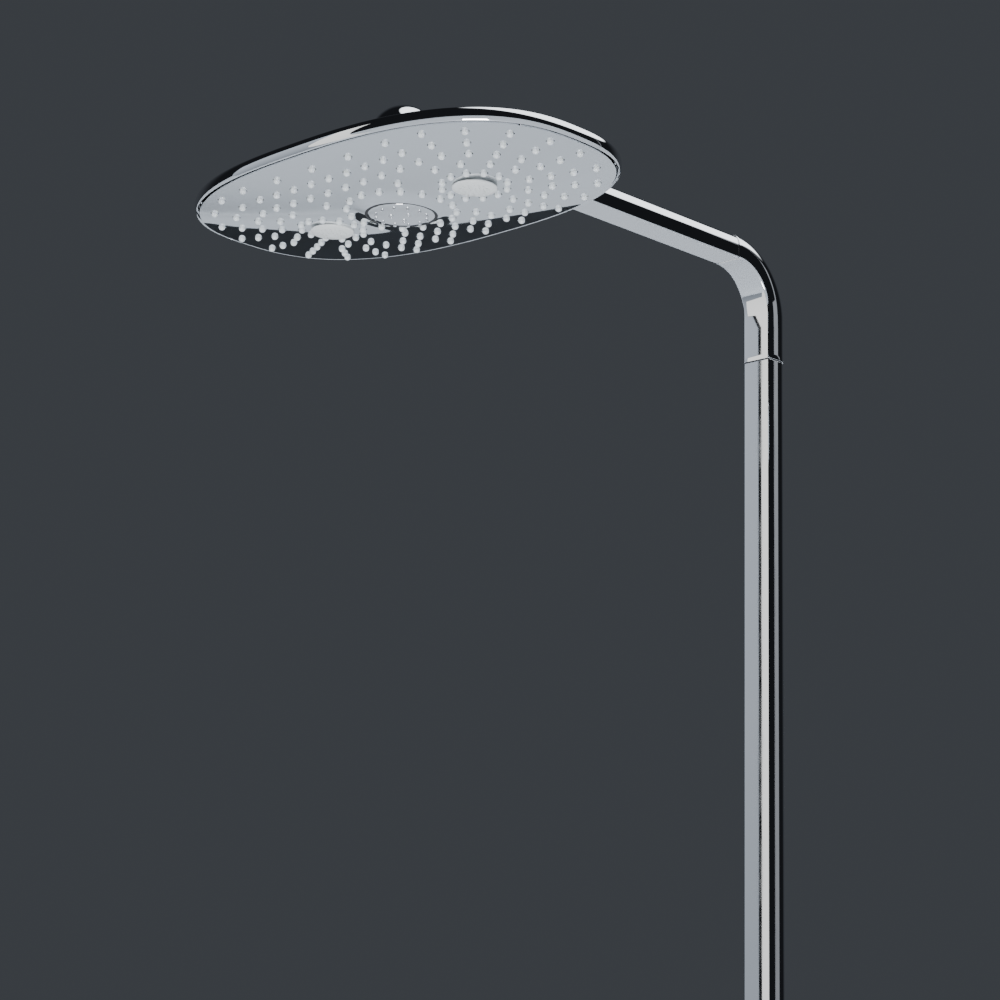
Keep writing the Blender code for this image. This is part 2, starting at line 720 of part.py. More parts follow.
def build_swivel():
    """Spigot that turns with the arm, its seals, the glide ring and the bush in the column."""
    plug_low = SEAM_Z + SEAM + GAP
    plug_high = SEAM_Z + 12 * MM
    spigot = column_stick("swivel_spigot", ELBOW_WALL + GAP, plug_low, plug_high, BRASS)
    groove_top = -12 * MM
    groove = 2.4 * MM
    step = 10 * MM
    depth = 1.2 * MM
    profile = [(0, plug_high - SEAM_Z - 4 * MM), (SPIGOT_RADIUS, plug_high - SEAM_Z - 4 * MM)]
    for top in (groove_top, groove_top - step):
        profile += [(SPIGOT_RADIUS, top), (SPIGOT_RADIUS - depth, top)]
        profile += [(SPIGOT_RADIUS - depth, top - groove), (SPIGOT_RADIUS, top - groove)]
    profile += [(SPIGOT_RADIUS, -SPIGOT_LENGTH), (0, -SPIGOT_LENGTH)]
    place = (0, COLUMN_Y, SEAM_Z)
    join(spigot, turned("spigot_pin", profile, place, "Z", None))
    for side in (-1, 1):
        bore_place = (side * PIPE_OFFSET, COLUMN_Y, SEAM_Z)
        cut(spigot, round_bar(f"spigot_bore_{side}", PIPE_RADIUS - PIPE_WALL, -60 * MM, 40 * MM, bore_place,
                              "Z", None, SMALL_STEPS))
    bush_bore = SPIGOT_RADIUS + RUNNING_GAP
    for number, top in enumerate((groove_top, groove_top - step), 1):
        cord = (bush_bore - SPIGOT_RADIUS + depth - 0.4 * MM) / 2
        seal_radius = SPIGOT_RADIUS - depth + cord + 0.1 * MM
        seal = ring_seal(f"swivel_seal_{number}", seal_radius, cord, place, "Z", DARK)
        seal.location.z += top - groove / 2
    bush_low = SEAM_Z - SPIGOT_LENGTH - 4 * MM
    bush = column_stick("swivel_bush", COLUMN_WALL + GAP, bush_low, SEAM_Z - GAP, ACETAL)
    bore_low = -SPIGOT_LENGTH - 20 * MM
    cut(bush, round_bar("bush_bore", bush_bore, bore_low, 10 * MM, place, "Z", None, LARGE_STEPS))
    glide = column_stick("swivel_glide_ring", 0.4 * MM, SEAM_Z + GAP / 2, SEAM_Z + SEAM - GAP / 2, DARK)
    cut(glide, round_bar("glide_bore", bush_bore, -20 * MM, 20 * MM, place, "Z", None, LARGE_STEPS))


# ---- column and wall bracket ---------------------------------------------------------------


def build_column():
    """Column tube and the two pipes inside it."""
    tube = [column_outline(), column_outline(COLUMN_WALL)]
    plate_from("column_tube", tube, FOOT_Z, SEAM_Z - GAP / 2, CHROME)
    low = FOOT_Z + 30 * MM
    high = SEAM_Z - SPIGOT_LENGTH - 4 * MM - GAP
    for side, word in ((-1, "jet"), (1, "rain")):
        x = side * PIPE_OFFSET
        pipe(f"column_{word}_pipe", [(x, COLUMN_Y, low), (x, COLUMN_Y, high)], ACETAL)


def build_bracket():
    """Wall plate with its stud, two screws, rosette, and the collar round the column."""
    stud = 6 * MM
    plate = turned(
        "bracket_wall_plate",
        [(0, 0), (BRACKET_RADIUS, 0), (BRACKET_RADIUS, -BRACKET_PLATE), (stud, -BRACKET_PLATE),
         (stud, -28 * MM), (0, -28 * MM)],
        (0, 0, 0), "Y", STEEL,
    )
    for side, word in ((-1, "lower"), (1, "upper")):
        place = (0, 0, side * BRACKET_SCREW_SPACING / 2)
        hole = round_bar(f"plate_hole_{word}", 2.7 * MM, -10 * MM, 10 * MM, place, "Y", None, SMALL_STEPS)
        cut(plate, hole)
        head = -BRACKET_PLATE - GAP
        turned(
            f"bracket_screw_{word}",
            [(0, 0), (2.3 * MM, 0), (2.3 * MM, head), (4.4 * MM, head), (4.4 * MM, head - 1.6 * MM),
             (0, head - 2.6 * MM)],
            place, "Y", STEEL, SMALL_STEPS,
        )
    lip = 1.5 * MM
    turned(
        "bracket_rosette",
        [(ROSETTE_RADIUS, -GAP), (ROSETTE_RADIUS, -ROSETTE_DEPTH + 3 * MM),
         (ROSETTE_RADIUS - 3 * MM, -ROSETTE_DEPTH), (POST_RADIUS + GAP, -ROSETTE_DEPTH),
         (POST_RADIUS + GAP, -ROSETTE_DEPTH + lip), (ROSETTE_RADIUS - 3.6 * MM, -ROSETTE_DEPTH + lip),
         (ROSETTE_RADIUS - lip, -ROSETTE_DEPTH + 3.8 * MM), (ROSETTE_RADIUS - lip, -GAP)],
        (0, 0, 0), "Y", CHROME, LARGE_STEPS,
    )
    half = COLLAR_HEIGHT / 2
    collar = column_stick("bracket_collar", -COLLAR_WALL, -half, half, CHROME)
    post_start = COLUMN_FRONT + COLUMN_DEPTH + 0.8 * MM
    post_end = -BRACKET_PLATE - 4 * MM
    join(collar, round_bar("collar_post", POST_RADIUS, post_start, post_end, (0, 0, 0), "Y", None))
    cut(collar, column_stick("collar_inside", -GAP, -half - 5 * MM, half + 5 * MM, None))
    socket = -28 * MM - GAP
    cut(collar, round_bar("collar_socket", stud + GAP, socket, 10 * MM, (0, 0, 0), "Y", None))
    screw_place = (0, -22 * MM, 0)
    hole = 2 * MM
    cut(collar, round_bar("grub_hole", hole + GAP, -20 * MM, 0, screw_place, "Z", None, SMALL_STEPS))
    low = -POST_RADIUS - 0.4 * MM
    round_bar("bracket_grub_screw", hole, low, -stud - GAP, screw_place, "Z", STEEL, SMALL_STEPS)


# ---- mixer ---------------------------------------------------------------------------------


def build_foot():
    """Adapter in the column's foot, its gasket and the nut down to the mixer."""
    place = (0, COLUMN_Y, FOOT_Z)
    nipple = 9.5 * MM
    flange = 11.6 * MM
    low = -13 * MM
    adapter = column_stick("foot_adapter", COLUMN_WALL + GAP, FOOT_Z + 2 * MM, FOOT_Z + 30 * MM - GAP, BRASS)
    join(adapter, turned(
        "foot_nipple",
        [(0, 10 * MM), (nipple, 10 * MM), (nipple, low + 4 * MM),
         (flange, low + 4 * MM), (flange, low), (0, low)],
        place, "Z", None,
    ))
    for side in (-1, 1):
        bore_place = (side * PIPE_OFFSET, COLUMN_Y, FOOT_Z)
        cut(adapter, round_bar(f"foot_bore_{side}", PIPE_RADIUS - PIPE_WALL, -40 * MM, 60 * MM, bore_place,
                               "Z", None, SMALL_STEPS))
    sleeve("foot_gasket", 11 * MM, 8 * MM, low - 2 * MM, low - GAP, place, "Z", DARK)
    boss_top = low - 2 * MM - GAP
    outer = 19 * MM
    collar = low + 4 * MM + GAP
    turned(
        "foot_nut",
        [(outer - 1 * MM, -1 * MM), (outer, -2 * MM), (outer, boss_top - 9 * MM),
         (outer - 1 * MM, boss_top - 10 * MM), (12.3 * MM, boss_top - 10 * MM), (12.3 * MM, collar),
         (nipple + GAP, collar), (nipple + GAP, -1 * MM)],
        place, "Z", CHROME, LARGE_STEPS,
    )
    return FOOT_Z + boss_top


def build_mixer(boss_top):
    """Mixer bar with its bores, back bosses and top boss."""
    place = (0, COLUMN_Y, MIXER_Z)
    edge = 1.5 * MM
    bar = turned(
        "mixer_body",
        [(0, BAR_HALF), (BAR_RADIUS - edge, BAR_HALF), (BAR_RADIUS, BAR_HALF - edge),
         (BAR_RADIUS, -BAR_HALF + edge), (BAR_RADIUS - edge, -BAR_HALF), (0, -BAR_HALF)],
        place, "X", CHROME, LARGE_STEPS,
    )
    boss_end = BAR_RADIUS + BOSS_LENGTH
    join(bar, round_bar("top_boss", 12 * MM, 0, boss_top - MIXER_Z, place, "Z", None))
    for side, word in ((-1, "left"), (1, "right")):
        inlet = (side * INLET_SPACING / 2, COLUMN_Y, MIXER_Z)
        join(bar, round_bar(f"inlet_boss_{word}", BOSS_RADIUS, 5 * MM, boss_end, inlet, "Y", None))
    for side, word in ((-1, "left"), (1, "right")):
        inlet = (side * INLET_SPACING / 2, COLUMN_Y, MIXER_Z)
        start = side * (BAR_HALF - CARTRIDGE_DEPTH)
        end = side * (BAR_HALF + 5 * MM)
        low = min(start, end)
        high = max(start, end)
        cut(bar, round_bar(f"cartridge_bore_{word}", CARTRIDGE_BORE, low, high, place, "X", None))
        bore_end = boss_end + 5 * MM
        cut(bar, round_bar(f"inlet_bore_{word}", 8 * MM, 3 * MM, bore_end, inlet, "Y", None, SMALL_STEPS))
    cut(bar, round_bar("outlet_bore", 7 * MM, 2 * MM, boss_top - MIXER_Z + 5 * MM, place, "Z", None))
    cross_end = BAR_HALF - 40 * MM
    cut(bar, round_bar("cross_bore", 6 * MM, -cross_end, cross_end, place, "X", None, SMALL_STEPS))
    for side, word in ((-1, "cold"), (1, "hot")):
        build_union(side * -INLET_SPACING / 2, word, COLUMN_Y + boss_end)


def build_union(x, word, boss_end):
    """Wall union, its filter washer, the nut that draws it to the mixer, and the escutcheon."""
    place = (x, 0, MIXER_Z)
    washer_end = boss_end + GAP + 2 * MM
    flange = BOSS_RADIUS - 0.6 * MM
    flange_start = washer_end + GAP
    flange_end = flange_start + 4 * MM
    turned(
        f"{word}_union",
        [(UNION_RADIUS, 0), (UNION_RADIUS, flange_end), (flange, flange_end), (flange, flange_start),
         (7.5 * MM, flange_start), (7.5 * MM, 0)],
        place, "Y", BRASS,
    )
    sleeve(f"{word}_filter_washer", flange, 7 * MM, boss_end + GAP, washer_end, place, "Y", DARK)
    nut_radius = BOSS_RADIUS + GAP + NUT_WALL
    nut_start = boss_end - BOSS_LENGTH + 1 * MM
    nut_end = flange_end + GAP + 3 * MM
    nut = round_bar(f"{word}_union_nut", nut_radius, nut_start, nut_end, place, "Y", CHROME, 6)
    thread_start = nut_start - 5 * MM
    thread_end = flange_end + GAP
    hole_end = nut_end + 5 * MM
    cut(nut, round_bar(f"{word}_nut_thread", BOSS_RADIUS + GAP, thread_start, thread_end, place, "Y", None))
    cut(nut, round_bar(f"{word}_nut_hole", UNION_RADIUS + GAP, nut_start, hole_end, place, "Y", None))
    lip = 1.5 * MM
    turned(
        f"{word}_escutcheon",
        [(ESCUTCHEON_RADIUS, -GAP), (ESCUTCHEON_RADIUS, -4 * MM),
         (ESCUTCHEON_RADIUS - 9 * MM, -ESCUTCHEON_DEPTH),
         (UNION_RADIUS + GAP, -ESCUTCHEON_DEPTH), (UNION_RADIUS + GAP, -ESCUTCHEON_DEPTH + lip),
         (ESCUTCHEON_RADIUS - 10 * MM, -ESCUTCHEON_DEPTH + lip), (ESCUTCHEON_RADIUS - lip, -4 * MM),
         (ESCUTCHEON_RADIUS - lip, -GAP)],
        place, "Y", CHROME, LARGE_STEPS,
    )


def build_control(word, side, button_finish):
    """Cartridge in one end of the bar, with its spindle, handle, stop button and spring."""
    axis = "X" if side > 0 else "-X"
    place = (0, COLUMN_Y, MIXER_Z)
    start = BAR_HALF - CARTRIDGE_DEPTH + GAP
    shoulder = BAR_HALF + 1.5 * MM
    spindle_start = BAR_HALF - 12 * MM
    spindle = SPINDLE_RADIUS
    turned(
        f"{word}_cartridge",
        [(CARTRIDGE_BORE - 4 * MM, shoulder), (CARTRIDGE_BORE - GAP, BAR_HALF - 1 * MM),
         (CARTRIDGE_BORE - GAP, start), (0, start), (0, spindle_start - GAP),
         (spindle + GAP, spindle_start - GAP), (spindle + GAP, shoulder)],
        place, axis, ACETAL,
    )
    handle_start = BAR_HALF + 1 * MM
    handle_end = handle_start + HANDLE_LENGTH
    hub_start = shoulder + 2 * MM
    hub_depth = handle_end - 20 * MM
    hub = 9 * MM
    round_bar(f"{word}_spindle", spindle, spindle_start, hub_depth - GAP, place, axis, BRASS, SMALL_STEPS)
    inner = HANDLE_RADIUS - HANDLE_WALL
    handle = turned(
        f"{word}_handle",
        [(0, handle_end), (HANDLE_RADIUS - 4 * MM, handle_end), (HANDLE_RADIUS, handle_end - 4 * MM),
         (HANDLE_RADIUS, handle_start), (inner, handle_start), (inner, handle_end - HANDLE_WALL),
         (hub, handle_end - HANDLE_WALL), (hub, hub_start), (spindle + GAP, hub_start),
         (spindle + GAP, hub_depth), (0, hub_depth)],
        place, axis, CHROME, LARGE_STEPS,
    )
    button_x = side * (handle_start + 26 * MM)
    button_place = (button_x, COLUMN_Y, MIXER_Z)
    cut(handle, round_bar(f"{word}_button_hole", BUTTON_RADIUS + GAP, inner - 4 * MM, HANDLE_RADIUS + 5 * MM,
                          button_place, "Z", None, ROUND_STEPS))
    flange_high = inner - 1.2 * MM
    flange_low = flange_high - 1.8 * MM
    turned(
        f"{word}_button",
        [(0, HANDLE_RADIUS + BUTTON_STAND), (BUTTON_RADIUS - 0.8 * MM, HANDLE_RADIUS + BUTTON_STAND),
         (BUTTON_RADIUS, HANDLE_RADIUS + BUTTON_STAND - 0.8 * MM), (BUTTON_RADIUS, flange_high),
         (BUTTON_RADIUS + 1.2 * MM, flange_high), (BUTTON_RADIUS + 1.2 * MM, flange_low), (0, flange_low)],
        button_place, "Z", button_finish, ROUND_STEPS,
    )
    build_spring(f"{word}_spring", (button_x, COLUMN_Y), MIXER_Z + hub + 0.5 * MM, MIXER_Z + flange_low - GAP)
    return button_place


def build_spring(name, centre, low, high):
    """A short open coil standing between two heights."""
    turns = 3
    steps_per_turn = 8
    coil_radius = 3.4 * MM
    wire = 0.45 * MM
    rise = high - low - 2 * wire
    curve = bpy.data.curves.new(name, "CURVE")
    curve.dimensions = "3D"
    curve.bevel_depth = wire
    curve.bevel_resolution = 0
    curve.use_fill_caps = True
    count = turns * steps_per_turn
    spline = curve.splines.new("POLY")
    spline.points.add(count)
    for step, point in enumerate(spline.points):
        angle = math.tau * step / steps_per_turn
        x = centre[0] + coil_radius * math.cos(angle)
        y = centre[1] + coil_radius * math.sin(angle)
        point.co = (x, y, low + wire + rise * step / count, 1)
    return meshed(name, curve, (0, 0, 0), STEEL)


# ---- assembly ------------------------------------------------------------------------------


def hang(empty_name, place, parent, names):
    """Parent pieces to an empty on their joint's axis, leaving them where they are."""
    empty = bpy.data.objects.new(empty_name, None)
    parts.objects.link(empty)
    empty.location = place
    empty.empty_display_size = 20 * MM
    bpy.context.view_layer.update()
    if parent is not None:
        empty.parent = parent
        empty.matrix_parent_inverse = parent.matrix_world.inverted()
        bpy.context.view_layer.update()
    for name in names:
        piece = bpy.data.objects[name]
        piece.parent = empty
        piece.matrix_parent_inverse = empty.matrix_world.inverted()
    return empty


def shade(piece):
    """Smooth shading with the edges between unlike faces kept sharp."""
    piece.data.shade_smooth()
    piece.data.set_sharp_from_angle(angle=math.radians(35))


build_face()
build_ball_joint(build_head_body())
build_arm()
build_swivel()
build_column()
build_bracket()
build_mixer(build_foot())
temperature_button_place = build_control("temperature", 1, RED)
selector_button_place = build_control("selector", -1, CHROME)

ARM_PIECES = (
    "elbow", "arm_seam_gasket", "arm_tube", "arm_rain_pipe", "arm_jet_pipe", "arm_end_knuckle",
    "ball_retaining_nut", "ball_seal", "swivel_spigot", "swivel_seal_1", "swivel_seal_2",
)
HEAD_PIECES = (
    "swivel_ball", "head_top_shell", "spray_plate", "nozzle_mat", "centre_jet_disc", "centre_disc_seal",
    "massage_nozzle_left", "massage_nozzle_right",
    "distributor_plate", "distributor_cover", "chamber_gasket",
    "head_screw_1", "head_screw_2", "head_screw_3", "head_screw_4",
)
arm_pivot = hang("arm_pivot", (0, COLUMN_Y, SEAM_Z), None, ARM_PIECES)
ball_pivot = hang("ball_pivot", (0, HEAD_Y, BALL_Z), arm_pivot, ("ball_slip_ring",))
hang("head_pivot", (0, HEAD_Y, BALL_Z), ball_pivot, HEAD_PIECES)
for control, button_place in (("temperature", temperature_button_place), ("selector", selector_button_place)):
    moving = (f"{control}_handle", f"{control}_spindle", f"{control}_spring")
    handle_pivot = hang(f"{control}_pivot", (0, COLUMN_Y, MIXER_Z), None, moving)
    hang(f"{control}_button_guide", button_place, handle_pivot, (f"{control}_button",))
for piece in parts.objects:
    if piece.type == "MESH":
        shade(piece)
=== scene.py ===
import json
import math

import bmesh
import bpy
import numpy as np
from mathutils import Matrix, Vector


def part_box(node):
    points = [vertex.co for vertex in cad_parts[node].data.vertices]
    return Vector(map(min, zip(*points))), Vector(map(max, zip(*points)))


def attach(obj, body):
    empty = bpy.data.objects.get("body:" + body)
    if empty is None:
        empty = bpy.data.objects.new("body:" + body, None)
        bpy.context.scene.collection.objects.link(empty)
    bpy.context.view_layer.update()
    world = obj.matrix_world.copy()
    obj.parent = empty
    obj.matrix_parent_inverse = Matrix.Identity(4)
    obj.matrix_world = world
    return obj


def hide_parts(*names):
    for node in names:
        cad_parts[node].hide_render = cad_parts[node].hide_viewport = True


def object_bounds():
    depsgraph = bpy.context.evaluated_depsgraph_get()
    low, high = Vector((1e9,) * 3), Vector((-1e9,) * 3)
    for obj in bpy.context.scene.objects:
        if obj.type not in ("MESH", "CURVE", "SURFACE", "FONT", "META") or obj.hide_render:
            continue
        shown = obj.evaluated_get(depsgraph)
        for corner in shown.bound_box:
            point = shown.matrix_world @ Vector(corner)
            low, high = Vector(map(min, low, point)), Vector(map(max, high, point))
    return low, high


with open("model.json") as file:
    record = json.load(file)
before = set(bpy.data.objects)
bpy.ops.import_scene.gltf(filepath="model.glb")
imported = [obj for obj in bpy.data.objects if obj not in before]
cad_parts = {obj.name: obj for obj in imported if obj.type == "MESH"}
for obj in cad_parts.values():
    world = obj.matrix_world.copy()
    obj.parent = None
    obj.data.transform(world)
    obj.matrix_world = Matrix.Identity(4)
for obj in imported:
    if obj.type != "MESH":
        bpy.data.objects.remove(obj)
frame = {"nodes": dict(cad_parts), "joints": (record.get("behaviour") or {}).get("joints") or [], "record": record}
cad_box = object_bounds()

MM = 0.001
record = frame["record"]
joints = {joint["name"]: joint for joint in frame["joints"]}
swivel_axis = np.array(joints["arm_swivel"]["pos_m"])
ball_centre = np.array(joints["head_tilt_side"]["pos_m"])
handle_axis = np.array(joints["temperature_turn"]["pos_m"])


def corners(node):
    """Low and high corner of a CAD node's box, as arrays."""
    low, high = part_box(node)
    return np.array(low), np.array(high)


def full_turn(count):
    """Angles of count even steps round a circle."""
    return np.linspace(0, math.tau, count, endpoint=False)


def placed(name, data):
    """A new object that holds data, put into the scene at the origin."""
    thing = bpy.data.objects.new(name, data)
    bpy.context.scene.collection.objects.link(thing)
    return thing


def new_finish(name):
    """A fresh node material: the material, its node tree and its main shader."""
    material = bpy.data.materials.new(name)
    material.use_nodes = True
    return material, material.node_tree, material.node_tree.nodes["Principled BSDF"]


def noise(tree, scale, detail=2.0):
    """Height from a noise that keeps its place on the object."""
    place = tree.nodes.new("ShaderNodeTexCoord")
    clouds = tree.nodes.new("ShaderNodeTexNoise")
    clouds.inputs["Scale"].default_value = scale
    clouds.inputs["Detail"].default_value = detail
    tree.links.new(place.outputs["Object"], clouds.inputs["Vector"])
    return clouds.outputs["Fac"]


def spread(tree, height, low, high, socket):
    """Lets a noise height move a socket's value evenly between low and high."""
    shade = tree.nodes.new("ShaderNodeMapRange")
    shade.inputs["To Min"].default_value = low
    shade.inputs["To Max"].default_value = high
    tree.links.new(height, shade.inputs["Value"])
    tree.links.new(shade.outputs["Result"], socket)
    return shade


def mixed(tree, height, low_colour, high_colour, socket):
    """Lets a height move a socket's colour between the two given."""
    tone = tree.nodes.new("ShaderNodeMix")
    tone.data_type = "RGBA"
    tone.inputs["A"].default_value = (*low_colour, 1)
    tone.inputs["B"].default_value = (*high_colour, 1)
    tree.links.new(height, tone.inputs["Factor"])
    tree.links.new(tone.outputs["Result"], socket)


def relief(tree, height, strength, distance, shader):
    """Lets a noise height raise a fine relief on the surface."""
    bump = tree.nodes.new("ShaderNodeBump")
    bump.inputs["Strength"].default_value = strength
    bump.inputs["Distance"].default_value = distance
    tree.links.new(height, bump.inputs["Height"])
    tree.links.new(bump.outputs["Normal"], shader.inputs["Normal"])


# ---- Studio: camera, floor, screens and lights ----------------------------------------------
# The shower hangs high on its wall, so the lens stands low in front and to its right, looking up.
# A pale floor and a low fill lamp light the spray face from below. Three upright screens, a dark
# flag (all hidden from the lens) and a softbox in the sky draw the bands in the chrome.

face_low, face_high = corners("spray_plate")
face_middle = (face_low + face_high) / 2
FACE_EDGE = face_high[2] - 2 * MM

EYE_FROM_FACE = np.array((1.2985, -1.2267, -0.6291))
LENS_LENGTH = 88.55
EYE_TURN = math.radians(43.587)
EYE_LIFT = math.radians(12.448)
EYE_ROLL = math.radians(1.163)


def aim(eye, turn, lift, roll):
    """World rotation of a lens at eye: turn is measured from +Y towards -X, lift up from level."""
    level = Matrix.Rotation(turn, 4, "Z") @ Matrix.Rotation(math.pi / 2 + lift, 4, "X")
    return Matrix.Translation(eye) @ level @ Matrix.Rotation(roll, 4, "Z")


lens = bpy.data.cameras.new("studio_lens")
lens.sensor_width = 36.0
lens.lens = LENS_LENGTH
lens.shift_x = -0.02
lens.clip_start = 0.02
lens.clip_end = 60
camera = placed("camera", lens)
eye = np.array((face_middle[0], face_middle[1], FACE_EDGE)) + EYE_FROM_FACE
camera.matrix_world = aim(eye, EYE_TURN, EYE_LIFT, EYE_ROLL)
bpy.context.scene.camera = camera


def plain_material(name, colour, roughness):
    """A matt studio surface with a faint cloudy change of shade."""
    material, tree, shader = new_finish(name)
    shader.inputs["Base Color"].default_value = (*colour, 1)
    clouds = tree.nodes.new("ShaderNodeTexNoise")
    clouds.inputs["Scale"].default_value = 1.5
    spread(tree, clouds.outputs["Fac"], roughness - 0.05, roughness + 0.05, shader.inputs["Roughness"])
    return material


def studio_sheet(name, points, material):
    """One flat studio surface through the points."""
    mesh = bpy.data.meshes.new(name)
    mesh.from_pydata(points, [], [tuple(range(len(points)))])
    mesh.materials.append(material)
    sheet = placed(name, mesh)
    return sheet


FLOOR_DROP = 1.0
FLOOR_SPAN = 80.0
floor_z = cad_box[0][2] - FLOOR_DROP
floor_corners = [(-1, -1), (1, -1), (1, 1), (-1, 1)]
studio_sheet(
    "floor", [(x * FLOOR_SPAN, y * FLOOR_SPAN, floor_z) for x, y in floor_corners],
    plain_material("pale_floor", (0.78, 0.82, 0.87), 0.8),
)

SKY_DARK = (0.010, 0.011, 0.013)
SKY_BACKDROP = (0.048, 0.053, 0.061)
SKY_SOFTBOX = (2.7, 2.8, 2.9)


def studio_sky():
    """Nearly black all round, slate behind the shower, with one round softbox high over the wall."""
    world = bpy.data.worlds.new("studio")
    world.use_nodes = True
    tree = world.node_tree
    place = tree.nodes.new("ShaderNodeTexCoord")
    shade = None
    for colour, axis, edge in (
        (SKY_BACKDROP, (-0.70, 0.71, 0.05), (0.45, 0.85)),
        (SKY_SOFTBOX, (0.33, 0.33, 0.88), (0.78, 0.82)),
    ):
        toward = tree.nodes.new("ShaderNodeVectorMath")
        toward.operation = "DOT_PRODUCT"
        toward.inputs[1].default_value = Vector(axis).normalized()
        tree.links.new(place.outputs["Generated"], toward.inputs[0])
        rise = tree.nodes.new("ShaderNodeMapRange")
        rise.interpolation_type = "SMOOTHSTEP"
        rise.inputs["From Min"].default_value = edge[0]
        rise.inputs["From Max"].default_value = edge[1]
        tree.links.new(toward.outputs["Value"], rise.inputs["Value"])
        blend = tree.nodes.new("ShaderNodeMix")
        blend.data_type = "RGBA"
        blend.inputs["A"].default_value = (*SKY_DARK, 1)
        blend.inputs["B"].default_value = (*colour, 1)
        tree.links.new(rise.outputs["Result"], blend.inputs["Factor"])
        if shade:
            tree.links.new(shade, blend.inputs["A"])
        shade = blend.outputs["Result"]
    tree.links.new(shade, tree.nodes["Background"].inputs["Color"])
    return world


bpy.context.scene.world = studio_sky()


SCREEN_HEIGHT = 4.2


def glow_panel(name, corner, along, low_shade, high_shade):
    """An upright glowing screen from a floor corner, its shade changing evenly from foot to top."""
    start = np.array(corner, float)
    step = np.array(along, float)
    rise = np.array((0, 0, SCREEN_HEIGHT))
    material, tree, shader = new_finish(name)
    tree.nodes.remove(shader)
    place = tree.nodes.new("ShaderNodeTexCoord")
    level = tree.nodes.new("ShaderNodeSeparateXYZ")
    rise_share = tree.nodes.new("ShaderNodeMapRange")
    rise_share.inputs["From Min"].default_value = corner[2]
    rise_share.inputs["From Max"].default_value = corner[2] + SCREEN_HEIGHT
    glow = tree.nodes.new("ShaderNodeEmission")
    tree.links.new(place.outputs["Object"], level.inputs["Vector"])
    tree.links.new(level.outputs["Z"], rise_share.inputs["Value"])
    mixed(tree, rise_share.outputs["Result"], low_shade, high_shade, glow.inputs["Color"])
    tree.links.new(glow.outputs["Emission"], tree.nodes["Material Output"].inputs["Surface"])
    points = [start, start + step, start + step + rise, start + rise]
    studio_sheet(name, [tuple(point) for point in points], material).visible_camera = False


def seen_in_front(mirror_x, distance):
    """X where a ray from the lens, mirrored in the column's front at mirror_x, meets y = -distance."""
    flat_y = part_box("column_tube")[0][1]
    image_y = 2 * flat_y - eye[1]
    reach = (image_y + distance) / (image_y - flat_y)
    return eye[0] + (mirror_x - eye[0]) * reach


SCREEN_DISTANCE = 3.4
PALE_WIDTH = 2.6
WHITE_WIDTH = 0.9
pale_edge = seen_in_front(2.2 * MM, SCREEN_DISTANCE)
white_edge = seen_in_front(5.6 * MM, SCREEN_DISTANCE)
glow_panel(
    "pale_screen", (pale_edge - PALE_WIDTH, -SCREEN_DISTANCE, floor_z), (PALE_WIDTH, 0, 0),
    (0.26, 0.29, 0.33), (0.66, 0.72, 0.80),
)
glow_panel(
    "white_screen", (white_edge, -SCREEN_DISTANCE, floor_z), (WHITE_WIDTH, 0, 0),
    (1.25, 1.25, 1.22), (1.45, 1.45, 1.42),
)


def seen_in_flank(mirror_y, distance):
    """Y where such a ray, mirrored in the column's right flank at mirror_y, meets x = distance."""
    flank_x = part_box("column_tube")[1][0]
    image_x = 2 * flank_x - eye[0]
    reach = (distance - image_x) / (flank_x - image_x)
    return eye[1] + (mirror_y - eye[1]) * reach


FLANK_DISTANCE = 2.5
GREY_WIDTH = 0.12
flank_edge = seen_in_flank(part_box("column_tube")[0][1] + 6.5 * MM, FLANK_DISTANCE)
glow_panel(
    "grey_screen", (FLANK_DISTANCE, flank_edge, floor_z), (0, GREY_WIDTH, 0),
    (0.22, 0.23, 0.25), (0.40, 0.42, 0.45),
)

FLAG_DISTANCE = 3.0
flag_outline = [
    (-9.0, -1.36), (-6.4, -1.20), (-4.9, -0.62), (-3.6, -0.36), (-2.6, 0.2), (-1.6, 0.9), (-9.0, 1.4),
]
dark_flag = studio_sheet(
    "dark_flag", [(x, FLAG_DISTANCE, z) for x, z in flag_outline],
    plain_material("dark_flag", (0.05, 0.055, 0.062), 0.9),
)
dark_flag.visible_camera = False

FILL_SIZE = 0.8
FILL_POWER = 42
FILL_PLACE = (1.1, -1.9, -1.1)
fill = bpy.data.lights.new("low_fill", "AREA")
fill.size = FILL_SIZE
fill.energy = FILL_POWER
lamp = placed("low_fill", fill)
lamp.location = FILL_PLACE
lamp.rotation_euler = (Vector(face_middle) - lamp.location).to_track_quat("-Z", "Y").to_euler()
lamp.visible_camera = False


# ---- Overhead shower: top shell -------------------------------------------------------------
# A thin oval lens pressed from one sheet, its rim rolled under to hold the spray plate.
# It is mirror-plated; years of wiping leave only a faint unevenness in the shine.

OVAL_POWER = 2.6
HALF_LENGTH = (face_high[0] - face_low[0]) / 2 + 0.3 * MM
HALF_DEPTH = (face_high[1] - face_low[1]) / 2 + 0.3 * MM


def chrome_finish(name="mirror_chrome", base=(0.80, 0.81, 0.83), shine=0.011):
    """Plated mirror finish: even colour, a soft cloudiness in its roughness and a very slight ripple."""
    if name in bpy.data.materials:
        return bpy.data.materials[name]
    material, tree, shader = new_finish(name)
    shader.inputs["Base Color"].default_value = (*base, 1)
    shader.inputs["Metallic"].default_value = 1.0
    wipe = spread(tree, noise(tree, 22.0, 5.0), shine * 0.6, shine * 2.0, shader.inputs["Roughness"])
    wipe.inputs["From Min"].default_value = 0.35
    wipe.inputs["From Max"].default_value = 0.75
    relief(tree, noise(tree, 14.0, 1.0), 0.02, 0.2 * MM, shader)
    return material


